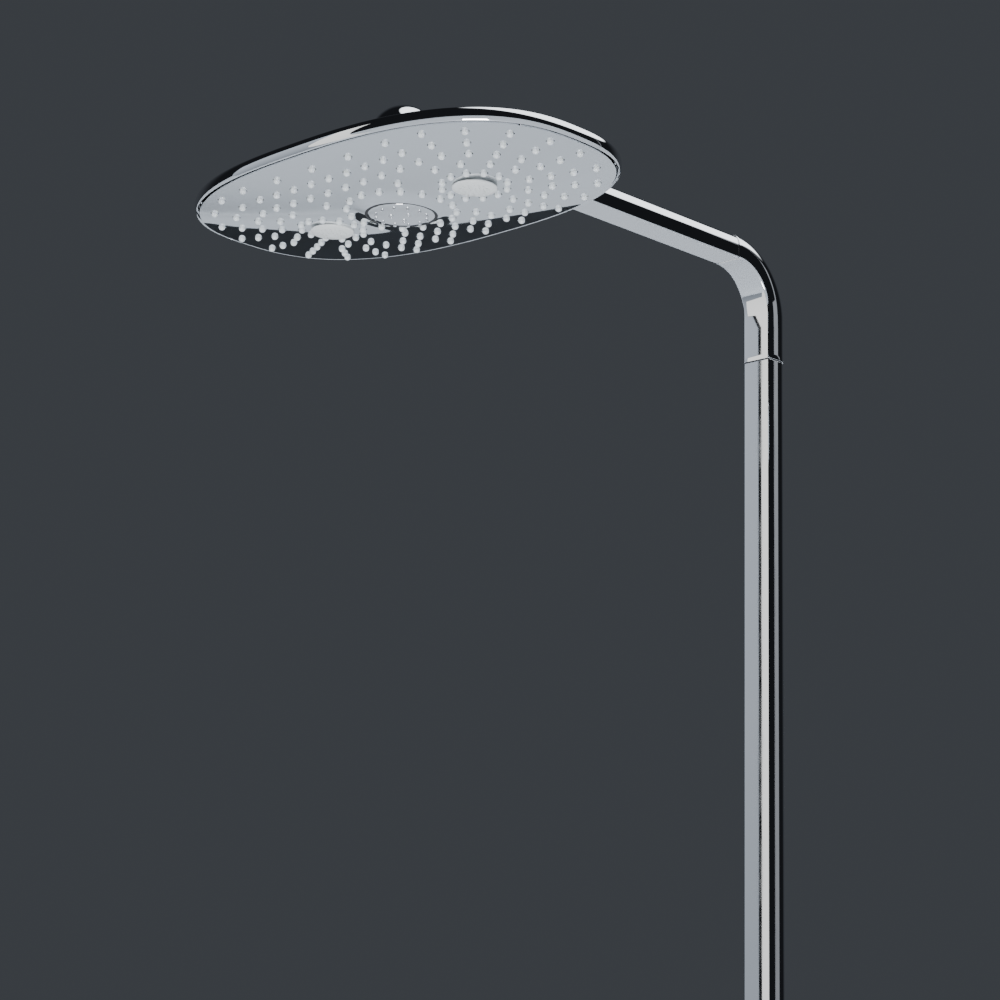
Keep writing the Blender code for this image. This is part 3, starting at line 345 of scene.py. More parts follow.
def mesh_from_grid(name, grid, around=False, through=False):
    """Mesh of a (rows, columns, 3) array of points; around joins last column to first, through the rows."""
    rows, columns = grid.shape[:2]
    row = np.arange(rows if through else rows - 1)
    column = np.arange(columns if around else columns - 1)
    r, c = np.meshgrid(row, column, indexing="ij")
    next_r = (r + 1) % rows
    next_c = (c + 1) % columns
    quads = (r * columns + c, r * columns + next_c, next_r * columns + next_c, next_r * columns + c)
    faces = np.stack(quads, axis=-1).reshape(-1, 4)
    mesh = bpy.data.meshes.new(name)
    mesh.from_pydata(grid.reshape(-1, 3).tolist(), [], faces.tolist())
    return mesh


def finish_piece(name, mesh, material, body, stands_for=(), sharp=32):
    """Weld poles and seams, turn faces outwards, shade, and fix the piece to its body."""
    tidy = bmesh.new()
    tidy.from_mesh(mesh)
    bmesh.ops.remove_doubles(tidy, verts=tidy.verts, dist=1e-6)
    bmesh.ops.recalc_face_normals(tidy, faces=tidy.faces)
    tidy.to_mesh(mesh)
    tidy.free()
    mesh.shade_smooth()
    mesh.set_sharp_from_angle(angle=math.radians(sharp))
    piece = placed(name, mesh)
    mesh.materials.append(material)
    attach(piece, body)
    if stands_for:
        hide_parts(*stands_for)
    return piece


def chrome_piece(name, mesh, body, cad_node, sharp=32):
    """A mirror-plated piece that stands for one CAD node."""
    return finish_piece(name, mesh, chrome_finish(), body, (cad_node,), sharp)


def oval_ring(scale, grow, count):
    """Superellipse points: x and y are the half sizes times the signed powers of cosine and sine."""
    angle = full_turn(count)
    power = 2 / OVAL_POWER
    x = (HALF_LENGTH * scale + grow) * np.sign(np.cos(angle)) * np.abs(np.cos(angle)) ** power
    y = (HALF_DEPTH * scale + grow) * np.sign(np.sin(angle)) * np.abs(np.sin(angle)) ** power
    return x, y


SHELL_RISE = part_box("head_top_shell")[1][2] - FACE_EDGE
RIM_RISE = 11 * MM
RIM_TUCK = 0.9 * MM
RIM_ROLL = 2.7 * MM
SHELL_SHEET = 1.5 * MM
NECK_HOLE = 10.3 * MM


def shell_profile():
    """(scale, grow, height) rows: a half ellipse round the rim, then a shallow parabola to the neck hole."""
    lean = np.radians(np.linspace(-68, 78, 22))
    rows = [(1.0, RIM_TUCK + RIM_ROLL * math.cos(a), RIM_RISE / 2 * (1 + math.sin(a))) for a in lean]
    start = rows[-1]
    for scale in np.linspace(0.985, 0.09, 26):
        rise = start[2] + (SHELL_RISE - start[2]) * (1 - scale**2)
        rows.append((scale, start[1] * max(0.0, (scale - 0.8) / 0.2), rise))
    return rows


def sheet_rows(profile, count, sheet):
    """Grid of a thin shell: the profile's outer rows, then the same rows moved inwards by the sheet."""
    outer = np.array(profile)
    step = np.gradient(outer, axis=0)
    across = step[:, 1] + step[:, 0] * (HALF_DEPTH + HALF_LENGTH) / 2
    run = np.hypot(across, step[:, 2])
    normal_out = step[:, 2] / run
    normal_up = -across / run
    inner = outer.copy()
    inner[:, 1] -= normal_out * sheet
    inner[:, 2] -= normal_up * sheet
    rows = np.vstack([outer, inner[::-1]])
    grid = np.empty((len(rows), count, 3))
    for i, (scale, grow, rise) in enumerate(rows):
        x, y = oval_ring(scale, grow, count)
        hole = np.hypot(x, y)
        stretch = np.maximum(1, NECK_HOLE / np.maximum(hole, 1e-6))
        grid[i, :, 0] = face_middle[0] + x * stretch
        grid[i, :, 1] = face_middle[1] + y * stretch
        grid[i, :, 2] = FACE_EDGE + rise
    return grid


shell_grid = sheet_rows(shell_profile(), 160, SHELL_SHEET)
shell_mesh = mesh_from_grid("overhead_top_shell", shell_grid, True, True)
chrome_piece("overhead_top_shell", shell_mesh, "head", "head_top_shell", 50)


# ---- Overhead shower: spray plate -----------------------------------------------------------
# A crowned mirror plate clipped into the rim. It swells into a soft collar round the middle disc
# and is pierced by one countersunk hole for every rubber nozzle.

CROWN = 12 * MM
PLATE_SHEET = 1.6 * MM
MASSAGE_X = float(sum(corners("massage_nozzle_right"))[0]) / 2
DISC_RADIUS = float(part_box("centre_jet_disc")[1][0])
COLLAR_REACH = 7 * MM
COLLAR_DROP = 3.4 * MM
MIDDLE_HOLE = DISC_RADIUS + 1.9 * MM
MASSAGE_HOLE = 12.3 * MM
ROW_RADII = (25, 41.5, 58, 75, 92)
ROW_TURNS = (12, 12, 18, 18, 18)
ROW_STRAIGHTS = (0, 4, 8, 8, 4)
DISC_ROW = 42
DISC_ROW_COUNT = 16


def plate_height(x, y):
    """Height of the spray side: an upside-down bowl over the oval, with a collar dying away outwards."""
    along = np.abs(x / HALF_LENGTH) ** OVAL_POWER
    reach = (along + np.abs(y / HALF_DEPTH) ** OVAL_POWER) ** (1 / OVAL_POWER)
    bowl = CROWN * (1 - np.minimum(reach, 1) ** 2)
    beyond = np.maximum(np.hypot(x, y) - MIDDLE_HOLE, 0)
    collar = COLLAR_DROP * np.exp(-((beyond / COLLAR_REACH) ** 1.4))
    return FACE_EDGE - bowl - collar


def nozzle_rows():
    """Nozzle centres: half circles round the massage nozzles joined by straights, and a middle ring."""
    places = []
    for row, radius in enumerate(ROW_RADII):
        turn = math.tau / ROW_TURNS[row]
        last = ROW_TURNS[row] if row == 0 else ROW_TURNS[row] // 2 + 1
        angle = -math.pi / 2 + turn * np.arange(last)
        for side in (-1, 1):
            x = side * (MASSAGE_X + radius * MM * np.cos(angle))
            places.append(np.stack([x, radius * MM * np.sin(angle)], axis=1))
        straights = ROW_STRAIGHTS[row]
        for step in range(1, straights):
            x = MASSAGE_X * (2 * step / straights - 1)
            if row == 1 and abs(x) < DISC_ROW * MM / 2:
                continue
            places.append(np.array([(x, radius * MM), (x, -radius * MM)]))
    ring = math.tau * np.arange(DISC_ROW_COUNT) / DISC_ROW_COUNT
    places.append(DISC_ROW * MM * np.stack([np.cos(ring), np.sin(ring)], axis=1))
    return np.vstack(places)


nozzle_places = nozzle_rows()


def plate_grid(count, rows):
    """Both sides of the plate: rows shrink from the oval's edge to the round middle hole."""
    shares = np.linspace(0, 1, rows) ** 0.8
    ox, oy = oval_ring(1.0, -0.3 * MM, count)
    bearing = np.arctan2(oy, ox)
    hx = MIDDLE_HOLE * np.cos(bearing)
    hy = MIDDLE_HOLE * np.sin(bearing)
    x = ox[None] + (hx - ox)[None] * shares[:, None]
    y = oy[None] + (hy - oy)[None] * shares[:, None]
    z = plate_height(x, y)
    spray = np.stack([x + face_middle[0], y + face_middle[1], z], axis=-1)
    back = spray.copy()
    back[..., 2] += PLATE_SHEET
    return np.concatenate([spray, back[::-1]])


def countersinks(name, places, radius, flare, depth, count):
    """Cutters: for each place a round plug that widens where it meets the spray side."""
    angle = full_turn(count)
    circle = np.stack([np.cos(angle), np.sin(angle)], axis=1)
    cuts = bmesh.new()
    for x, y in places:
        z = float(plate_height(np.array(x), np.array(y)))
        rows = ((flare + 1.0 * MM, -1.5 * MM), (flare, -0.02 * MM), (radius, 0.5 * MM), (radius, depth))
        rings = []
        for size, rise in rows:
            ring = [
                cuts.verts.new((face_middle[0] + x + size * c, face_middle[1] + y + size * s, z + rise))
                for c, s in circle
            ]
            rings.append(ring)
        for low, high in zip(rings, rings[1:]):
            for i in range(count):
                cuts.faces.new((low[i], low[(i + 1) % count], high[(i + 1) % count], high[i]))
        cuts.faces.new(list(reversed(rings[0])))
        cuts.faces.new(rings[-1])
    mesh = bpy.data.meshes.new(name)
    cuts.to_mesh(mesh)
    cuts.free()
    return placed(name, mesh)


def carve(piece, tool):
    """Cut the tool out of the piece for good and throw the tool away."""
    change = piece.modifiers.new("carve", "BOOLEAN")
    change.object = tool
    change.operation = "DIFFERENCE"
    change.solver = "EXACT"
    bpy.context.view_layer.update()
    cut_piece = piece.evaluated_get(bpy.context.evaluated_depsgraph_get())
    carved = bpy.data.meshes.new_from_object(cut_piece)
    piece.modifiers.clear()
    piece.data = carved
    bpy.data.objects.remove(tool)
    carved.shade_smooth()
    carved.set_sharp_from_angle(angle=math.radians(30))


NOZZLE_BORE = 3.15 * MM
NOZZLE_FLARE = 3.3 * MM
spray_plate = finish_piece(
    "overhead_spray_plate", mesh_from_grid("overhead_spray_plate", plate_grid(192, 40), True, True),
    chrome_finish("face_chrome", (0.80, 0.82, 0.84), 0.02), "head", ("spray_plate",),
)
carve(spray_plate, countersinks("nozzle_bores", nozzle_places, NOZZLE_BORE, NOZZLE_FLARE, 5 * MM, 16))
massage_places = [(-MASSAGE_X, 0.0), (MASSAGE_X, 0.0)]
massage_flare = MASSAGE_HOLE + 0.5 * MM
carve(spray_plate, countersinks("massage_bores", massage_places, MASSAGE_HOLE, massage_flare, 6 * MM, 48))


# ---- Overhead shower: silicone nozzles ------------------------------------------------------
# One moulded mat of clear silicone lies behind the plate; its nozzles push out through the holes
# and can be rubbed clean of scale. Each ends in a soft rounded tip.

TIP_RADIUS = 2.5 * MM
TIP_STAND = 2.9 * MM
TIP_ROUND = 2.0 * MM
TIP_FOOT = 1.4 * MM  # above the spray side, inside the plate


def silicone_finish(name, base):
    """Translucent rubber: softly scattering, with a fine moulded grain."""
    material, tree, shader = new_finish(name)
    shader.inputs["Base Color"].default_value = (*base, 1)
    shader.inputs["Roughness"].default_value = 0.32
    shader.inputs["Subsurface Weight"].default_value = 0.35
    shader.inputs["Subsurface Radius"].default_value = (0.004, 0.004, 0.0045)
    shader.inputs["Coat Weight"].default_value = 0.25
    shader.inputs["Coat Roughness"].default_value = 0.12
    relief(tree, noise(tree, 900.0), 0.12, 0.1 * MM, shader)
    return material


def standing_shapes(name, places, profile, count):
    """One (radius, height) profile turned about a vertical line at each place on the spray side."""
    angle = full_turn(count)
    profile = np.array(profile)
    one = np.empty((len(profile), count, 3))
    one[..., 0] = profile[:, 0, None] * np.cos(angle)
    one[..., 1] = profile[:, 0, None] * np.sin(angle)
    one[..., 2] = profile[:, 1, None]
    whole = bmesh.new()
    for x, y in places:
        z = float(plate_height(np.array(x), np.array(y)))
        moved = one + np.array((face_middle[0] + x, face_middle[1] + y, z))
        mesh = mesh_from_grid("one", moved, True)
        whole.from_mesh(mesh)
        bpy.data.meshes.remove(mesh)
    result = bpy.data.meshes.new(name)
    whole.to_mesh(result)
    whole.free()
    return result


lean = np.linspace(0, math.pi / 2, 6)
tip_dome = [(TIP_RADIUS * math.sin(a), -TIP_STAND + TIP_ROUND * (1 - math.cos(a))) for a in lean]
tip_profile = tip_dome + [(TIP_RADIUS, TIP_FOOT), (0.0, TIP_FOOT)]
silicone = silicone_finish("clear_silicone", (0.84, 0.87, 0.88))
finish_piece(
    "silicone_nozzles", standing_shapes("silicone_nozzles", nozzle_places, tip_profile, 14), silicone,
    "head", (), 60,
)

MAT_GAP = 0.4 * MM
MAT_SHEET = 1.2 * MM
MAT_SHARE = 0.97  # of the plate's length and depth


def mat_rows(count, rows):
    """The mat behind the plate: the plate's back face again, raised by a clearance, with its own sheet."""
    mat = plate_grid(count, rows)
    mat[:rows, :, 2] += PLATE_SHEET + MAT_GAP
    mat[rows:, :, 2] += MAT_GAP + MAT_SHEET
    middle = face_middle[:2]
    mat[..., :2] = middle + (mat[..., :2] - middle) * MAT_SHARE
    return mat


# The mat is coloured near black: painted shade that darkens the gaps round the nozzles and the holes in the plate.
finish_piece(
    "silicone_mat", mesh_from_grid("silicone_mat", mat_rows(96, 8), True, True),
    silicone_finish("shaded_silicone", (0.07, 0.075, 0.08)), "head", ("nozzle_mat",),
)


# ---- Overhead shower: middle jet disc -------------------------------------------------------
# A round chrome insert stands slightly proud in the plate's collar, edged by a thin dark seal.
# Twelve short outlets in a ring round three in the middle throw the powerful jets.

disc_low, disc_high = corners("centre_jet_disc")
DISC_BOTTOM = disc_low[2]
RING_RADIUS = 20 * MM
RING_OUTLETS = 12
MIDDLE_RADIUS = 8 * MM
MIDDLE_OUTLETS = 3


def axis_frame(axis):
    """Three unit vectors for a turned piece: two across and one along the named axis."""
    table = {
        "X": ((0, 1, 0), (0, 0, 1), (1, 0, 0)),
        "-X": ((0, 0, 1), (0, 1, 0), (-1, 0, 0)),
        "Y": ((0, 0, 1), (1, 0, 0), (0, 1, 0)),
        "Z": ((1, 0, 0), (0, 1, 0), (0, 0, 1)),
    }
    return [np.array(vector, float) for vector in table[axis]]


def spokes_about(axis, angle):
    """Unit vectors across the axis at the angles, and the one along it."""
    across, up, along = axis_frame(axis)
    return np.cos(angle)[:, None] * across + np.sin(angle)[:, None] * up, along


def lathe(name, profile, place, axis="Z", count=72, ring=False):
    """Surface of revolution: every (radius, height) of the profile swung round the axis through place."""
    spokes, along = spokes_about(axis, full_turn(count))
    radius, height = np.array(profile, float).T
    grid = radius[:, None, None] * spokes[None] + height[:, None, None] * along + np.array(place, float)
    return mesh_from_grid(name, grid, True, ring)


def soften(profile, radius, steps=4, ring=False):
    """Replace each corner of a profile by a parabola touching both sides at up to radius from the corner."""
    points = np.array(profile, float)
    count = len(points)
    rounded = []
    for i, corner in enumerate(points):
        if not ring and i in (0, count - 1):
            rounded.append(tuple(corner))
            continue
        before = points[i - 1] - corner
        after = points[(i + 1) % count] - corner
        reach_before = min(radius, 0.45 * np.linalg.norm(before))
        reach_after = min(radius, 0.45 * np.linalg.norm(after))
        start = corner + before / np.linalg.norm(before) * reach_before
        end = corner + after / np.linalg.norm(after) * reach_after
        for step in range(steps + 1):
            share = step / steps
            bend = (1 - share) ** 2 * start + 2 * share * (1 - share) * corner + share**2 * end
            rounded.append(tuple(bend))
    return rounded


def joined(name, meshes):
    """Several meshes as one, each keeping its own place."""
    whole = bmesh.new()
    for mesh in meshes:
        whole.from_mesh(mesh)
        bpy.data.meshes.remove(mesh)
    result = bpy.data.meshes.new(name)
    whole.to_mesh(result)
    whole.free()
    return result


def disc_profile():
    """Domed front, small step at the rim, then up behind the plate."""
    rim = DISC_RADIUS
    low = DISC_BOTTOM
    shape = [
        (0, low), (rim * 0.45, low + 0.06 * MM), (rim * 0.80, low + 0.40 * MM),
        (rim - 1.6 * MM, low + 0.9 * MM), (rim - 0.2 * MM, low + 1.5 * MM), (rim, low + 3.6 * MM),
        (rim - 4 * MM, low + 4.2 * MM), (rim - 4 * MM, disc_high[2]), (0, disc_high[2]),
    ]
    return [(radius, height - FACE_EDGE) for radius, height in soften(shape, 0.7 * MM)]


def outlet(x, y, base, size, rise, count=14):
    """A short round outlet: a tapered stub with a rounded lip and a small bore."""
    shape = soften([
        (0, -rise + 0.9 * MM), (size * 0.35, -rise + 0.9 * MM), (size * 0.45, -rise), (size * 0.85, -rise),
        (size, 0.4 * MM), (0, 0.4 * MM),
    ], 0.3 * MM, 2)
    place = (face_middle[0] + x, face_middle[1] + y, base)
    return lathe("outlet", shape, place, count=count)


disc_place = (face_middle[0], face_middle[1], FACE_EDGE)
jet_parts = [lathe("disc", disc_profile(), disc_place, count=96)]
for count, ring, sunk, size, rise in (
    (RING_OUTLETS, RING_RADIUS, 0.5 * MM, 1.5 * MM, 1.5 * MM),
    (MIDDLE_OUTLETS, MIDDLE_RADIUS, 0.2 * MM, 2.2 * MM, 1.2 * MM),
):
    for number in range(count):
        bearing = math.tau * number / count
        x, y = ring * math.cos(bearing), ring * math.sin(bearing)
        jet_parts.append(outlet(x, y, DISC_BOTTOM + sunk, size, rise))
chrome_piece("middle_jet_disc", joined("middle_jet_disc", jet_parts), "head", "centre_jet_disc")


def rubber_finish():
    """Black sealing rubber with a dull, faintly mottled skin."""
    material, tree, shader = new_finish("dark_seal")
    shader.inputs["Base Color"].default_value = (0.022, 0.022, 0.025, 1)
    spread(tree, noise(tree, 350.0), 0.42, 0.62, shader.inputs["Roughness"])
    return material


rubber = rubber_finish()
SEAL_FOOT = -CROWN - COLLAR_DROP + 0.3 * MM
seal_shape = soften([
    (MIDDLE_HOLE - 0.1 * MM, SEAL_FOOT), (DISC_RADIUS + 0.15 * MM, SEAL_FOOT),
    (DISC_RADIUS + 0.15 * MM, SEAL_FOOT + 2 * MM), (MIDDLE_HOLE - 0.1 * MM, SEAL_FOOT + 2 * MM),
], 0.3 * MM, 3, True)
finish_piece(
    "disc_seal", lathe("disc_seal", seal_shape, disc_place, count=96, ring=True), rubber, "head",
    ("centre_disc_seal",),
)


# ---- Overhead shower: massage nozzles -------------------------------------------------------
# Two milky plastic buttons with a domed flange, pierced by rings of fine holes for the
# pulsing spray; each is clipped into the plate from below.

flange_low, flange_high = corners("massage_nozzle_right")
FLANGE_RADIUS = (flange_high[0] - flange_low[0]) / 2
FLANGE_DOME = 3.2 * MM
HOLE_RINGS = ((4.2, 6), (7.8, 12), (11.4, 18))  # (radius in mm, count)
HOLE_RADIUS = 0.62 * MM


def milky_finish():
    """White moulded plastic that lets a little light in, with a faint satin unevenness."""
    material, tree, shader = new_finish("white_plastic")
    shader.inputs["Base Color"].default_value = (0.80, 0.81, 0.80, 1)
    shader.inputs["Subsurface Weight"].default_value = 0.2
    shader.inputs["Subsurface Radius"].default_value = (0.003, 0.003, 0.003)
    spread(tree, noise(tree, 160.0), 0.26, 0.40, shader.inputs["Roughness"])
    return material


milky = milky_finish()


def spray_holes(name, x, base):
    """Cutters for the fine holes: rings of thin rods standing through the domed flange."""
    top = FLANGE_DOME + 0.6 * MM
    rod = [(0, -1 * MM), (HOLE_RADIUS, -1 * MM), (HOLE_RADIUS, top), (0, top)]
    rods = []
    for radius, count in HOLE_RINGS:
        for number in range(count):
            bearing = math.tau * (number + 0.5) / count
            place = (
                x + radius * MM * math.cos(bearing),
                face_middle[1] + radius * MM * math.sin(bearing),
                base,
            )
            rods.append(lathe("rod", rod, place, count=10))
    return placed(name, joined(name, rods))


def massage_nozzle(name, side, cad_node):
    """Domed flange, thin edge and hub, turned as one profile, then pierced."""
    x = side * MASSAGE_X
    tip = flange_low[2] - 0.3 * MM
    edge = float(plate_height(np.array(MASSAGE_X - FLANGE_RADIUS), np.array(0.0))) - 0.1 * MM
    rim = edge + 0.3 * MM
    hub = MASSAGE_HOLE - 0.5 * MM
    shape = soften([
        (0, tip), (FLANGE_RADIUS * 0.42, tip + 0.22 * MM), (FLANGE_RADIUS * 0.76, tip + 0.95 * MM),
        (FLANGE_RADIUS - 0.5 * MM, tip + 2.0 * MM), (FLANGE_RADIUS, tip + 2.6 * MM), (FLANGE_RADIUS, rim),
        (hub, rim), (hub, flange_high[2]), (0, flange_high[2]),
    ], 0.8 * MM)
    turned = lathe(name, shape, (face_middle[0] + x, face_middle[1], 0), count=72)
    piece = finish_piece(name, turned, milky, "head", (cad_node,), 45)
    carve(piece, spray_holes(name + "_holes", face_middle[0] + x, tip))


massage_nozzle("massage_spray_left", -1, "massage_nozzle_left")
massage_nozzle("massage_spray_right", 1, "massage_nozzle_right")


# ---- Arm, elbow and column tubes ------------------------------------------------------------
# One family of drawn tube: flat on one side, half round on the other. The flat turns from the
# underside of the arm, round the elbow, to the front of the column.

column_low, column_high = corners("column_tube")
ELBOW_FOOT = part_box("elbow")[0][2]
arm_low, arm_high = corners("arm_tube")
COLUMN_WIDTH = column_high[0] - column_low[0]
COLUMN_DEPTH = column_high[1] - column_low[1]
ARM_WIDTH = arm_high[0] - arm_low[0]
ARM_HEIGHT = arm_high[2] - arm_low[2]
BEND_RADIUS = 40.5 * MM
BEND_Y = column_low[1] - BEND_RADIUS
BEND_Z = arm_low[2] - BEND_RADIUS
TUBE_SHEET = 2 * MM
FRONT_CORNER = 1.7 * MM
ELBOW_SWELL = 0.3 * MM
ARCH_POINTS = 38
TUBE_LIP = 0.2 * MM  # the tiny round at a tube's end


def tube_section(width, depth, inset):
    """(across, out) points of the tube: a flat with two small quarter rounds, flanks and a half circle."""
    half = width / 2 - inset
    corner = max(FRONT_CORNER - inset, 0.5 * MM)
    crown = depth - width / 2
    quarter = np.linspace(0, math.pi / 2, 7)
    left = np.stack([
        -half + corner - corner * np.sin(quarter), inset + corner - corner * np.cos(quarter),
    ], axis=1)
    arch = np.linspace(0, math.pi, ARCH_POINTS)
    back = np.stack([-half * np.cos(arch), crown + half * np.sin(arch)], axis=1)
    right = left[::-1] * np.array((-1, 1))
    steps = np.linspace(0, 1, 8)[1:-1]
    flat_start = right[-1]
    flat_end = left[0]
    flat = flat_start + (flat_end - flat_start) * steps[:, None]
    flank = left[-1] + (back[0] - left[-1]) * np.array([[0.35], [0.7]])
    flank_back = back[-1] + (right[0] - back[-1]) * np.array([[0.3], [0.65]])
    return np.vstack([left, flank, back, flank_back, right, flat])


def tube_mesh(name, rows, sheet):
    """Closed tube from rows of (width, depth, place function): outside rows, then inside rows back again."""
    outside = [put(tube_section(width, depth, -swell)) for width, depth, swell, put in rows]
    inside = [put(tube_section(width, depth, sheet)) for width, depth, swell, put in reversed(rows)]
    return mesh_from_grid(name, np.array(outside + inside), True, True)


def on_column(z):
    """Places a section level across the column at height z."""
    def put(section):
        return np.stack([section[:, 0], column_low[1] + section[:, 1], np.full(len(section), z)], axis=1)
    return put


def on_bend(angle):
    """Places a section round the elbow: 0 lies across the arm, a quarter turn across the column."""
    def put(section):
        radius = BEND_RADIUS + section[:, 1]
        return np.stack([
            section[:, 0], BEND_Y + radius * math.sin(angle), BEND_Z + radius * math.cos(angle),
        ], axis=1)
    return put


def on_arm(y):
    """Places a section upright across the arm at y."""
    def put(section):
        return np.stack([section[:, 0], np.full(len(section), y), arm_low[2] + section[:, 1]], axis=1)
    return put


def edge_rows(size, start, end, place):
    """Rows from start to end with a tiny round at both ends, so that a seam catches the light."""
    width, depth, swell = size
    way = 1 if end > start else -1
    lead = [(0, 0.8), (0.3, 0.25), (1, 0), (2, 0)]
    ends = [(start + way * TUBE_LIP * run, swell - TUBE_LIP * sink) for run, sink in lead]
    ends += [(v, swell) for v in np.linspace(start, end, 12)[1:-1]]
    ends += [(end - way * TUBE_LIP * run, swell - TUBE_LIP * sink) for run, sink in reversed(lead)]
    return [(width, depth, grow, place(spot)) for spot, grow in ends]


column_rows = edge_rows((COLUMN_WIDTH, COLUMN_DEPTH, 0), column_low[2], column_high[2], on_column)
column_mesh = tube_mesh("riser_column", column_rows, TUBE_SHEET)
chrome_piece("riser_column", column_mesh, "column", "column_tube", 60)


def elbow_section_rows():
    """Down the elbow: the arm's section swells evenly into the column's in the bend, then runs straight."""
    arm_size = (ARM_WIDTH, ARM_HEIGHT)
    column_size = (COLUMN_WIDTH, COLUMN_DEPTH)
    rows = [
        (*arm_size, ELBOW_SWELL - TUBE_LIP * 0.8, on_arm(BEND_Y - 0.2 * MM)),
        (*arm_size, ELBOW_SWELL - TUBE_LIP * 0.25, on_arm(BEND_Y - 0.12 * MM)),
    ]
    for share in np.linspace(0, 1, 41):
        width = ARM_WIDTH + (COLUMN_WIDTH - ARM_WIDTH) * share
        depth = ARM_HEIGHT + (COLUMN_DEPTH - ARM_HEIGHT) * share
        rows.append((width, depth, ELBOW_SWELL, on_bend(math.pi / 2 * share)))
    for share in (0.3, 0.6, 0.9):
        rows.append((*column_size, ELBOW_SWELL, on_column(BEND_Z - (BEND_Z - ELBOW_FOOT) * share)))
    for run, sink in ((1, 0), (0.3, 0.25), (0, 0.8)):
        rows.append((*column_size, ELBOW_SWELL - TUBE_LIP * sink, on_column(ELBOW_FOOT + TUBE_LIP * run)))
    return rows


ELBOW_SHEET = 3 * MM
chrome_piece("swan_elbow", tube_mesh("swan_elbow", elbow_section_rows(), ELBOW_SHEET), "arm", "elbow", 60)

knuckle_low, knuckle_high = corners("arm_end_knuckle")
KNUCKLE_RADIUS = (knuckle_high[0] - knuckle_low[0]) / 2


def arm_mesh():
    """Straight tube whose far end is trimmed to the ball-shaped knuckle: each point stops on that ball."""
    rows = edge_rows((ARM_WIDTH, ARM_HEIGHT, 0), arm_high[1], arm_low[1] + 3 * MM, on_arm)[:-3]
    outside = [put(tube_section(width, depth, -swell)) for width, depth, swell, put in rows]
    inside = [put(tube_section(width, depth, TUBE_SHEET)) for width, depth, swell, put in rows]

    def trimmed(section_points):
        last = section_points.copy()
        rise = last[:, 2] - ball_centre[2]
        left = np.maximum(KNUCKLE_RADIUS**2 - last[:, 0] ** 2 - rise**2, (2 * MM) ** 2)
        last[:, 1] = ball_centre[1] + np.sqrt(left) - 0.3 * MM
        return last

    keep = [row for row in outside if row[:, 1].min() > ball_centre[1] + KNUCKLE_RADIUS]
    keep_inside = inside[: len(keep)]
    outside = keep + [trimmed(outside[-1])]
    inside = keep_inside + [trimmed(inside[-1])]
    return mesh_from_grid("straight_arm", np.array(outside + inside[::-1]), True, True)


chrome_piece("straight_arm", arm_mesh(), "arm", "arm_tube", 60)


# ---- Knuckle and ball joint -----------------------------------------------------------------
# A hollow half ball closes the arm's end over the head; a slotted nut screwed in from below
# holds the brass ball that the head hangs and tilts on.

def knuckle_shape():
    """Quarter circle of the dome, down to a lightly rounded rim, up the cavity and back to the middle."""
    angles = np.linspace(0, math.pi / 2, 26)
    dome = [(KNUCKLE_RADIUS * math.sin(a), KNUCKLE_RADIUS * math.cos(a)) for a in angles]
    cavity = 17.3 * MM
    inner = soften([
        dome[-1], (KNUCKLE_RADIUS, -1 * MM), (cavity, -1 * MM), (cavity, 1.7 * MM), (15 * MM, 1.7 * MM),
        (15 * MM, 12 * MM), (12.7 * MM, 20 * MM), (0, 20 * MM),
    ], 0.6 * MM)
    return dome[:-1] + inner


knuckle_mesh = lathe("knuckle_dome", knuckle_shape(), ball_centre, count=96)
chrome_piece("knuckle_dome", knuckle_mesh, "arm", "arm_end_knuckle", 40)


def slotted_nut():
    """Round nut whose lower edge is notched: its radius dips at eight even slots, deepest at the bottom."""
    count = 192
    angle = full_turn(count)
    notch = np.clip((np.cos(8 * angle) - 0.72) / 0.2, 0, 1)
    seat = 13.45 * MM
    inner = [(math.sqrt(seat**2 - (h * MM) ** 2), h) for h in (-7.4, -5, -2.5, 0, 1.4)]
    outer = [(16.9, 1.4), (17.0, 1.2), (17.0, -3.4), (17.0, -4.0), (16.9, -6.4), (16.2, -7.4)]
    rows = []
    for radius, height in outer:
        depth = np.clip((-height - 3.4) / 0.6, 0, 1) * 1.6
        size = (radius - notch * depth) * MM
        level = np.full(count, height * MM)
        rows.append(np.stack([size * np.cos(angle), size * np.sin(angle), level], axis=1))
    for radius, height in inner:
        rows.append(np.stack([
            radius * np.cos(angle), radius * np.sin(angle), np.full(count, height * MM),
        ], axis=1))
    return mesh_from_grid("ball_nut", np.array(rows) + ball_centre, True, True)


chrome_piece("ball_nut", slotted_nut(), "arm", "ball_retaining_nut", 40)


# ---- Wall bracket ---------------------------------------------------------------------------
# A domed rosette hides the screwed wall plate; a short post carries the collar that clasps
# the column, with a grub screw from below.

rosette_low, rosette_high = corners("bracket_rosette")
collar_low, collar_high = corners("bracket_collar")
ROSETTE_RADIUS = (rosette_high[0] - rosette_low[0]) / 2
ROSETTE_DEPTH = -rosette_low[1]
rosette_shape = soften([
    (ROSETTE_RADIUS, -0.3 * MM), (ROSETTE_RADIUS, -5 * MM),
    (ROSETTE_RADIUS - 4 * MM, -ROSETTE_DEPTH + 1.8 * MM),
    (16 * MM, -ROSETTE_DEPTH), (9.3 * MM, -ROSETTE_DEPTH), (9.3 * MM, -ROSETTE_DEPTH + 1.5 * MM),
    (ROSETTE_RADIUS - 5 * MM, -ROSETTE_DEPTH + 3.4 * MM), (ROSETTE_RADIUS - 1.5 * MM, -4.5 * MM),
    (ROSETTE_RADIUS - 1.5 * MM, -0.3 * MM),
], 2.5 * MM, 8, True)
rosette_mesh = lathe("wall_rosette", rosette_shape, (0, 0, 0), "Y", 96, True)
chrome_piece("wall_rosette", rosette_mesh, "column", "bracket_rosette", 50)


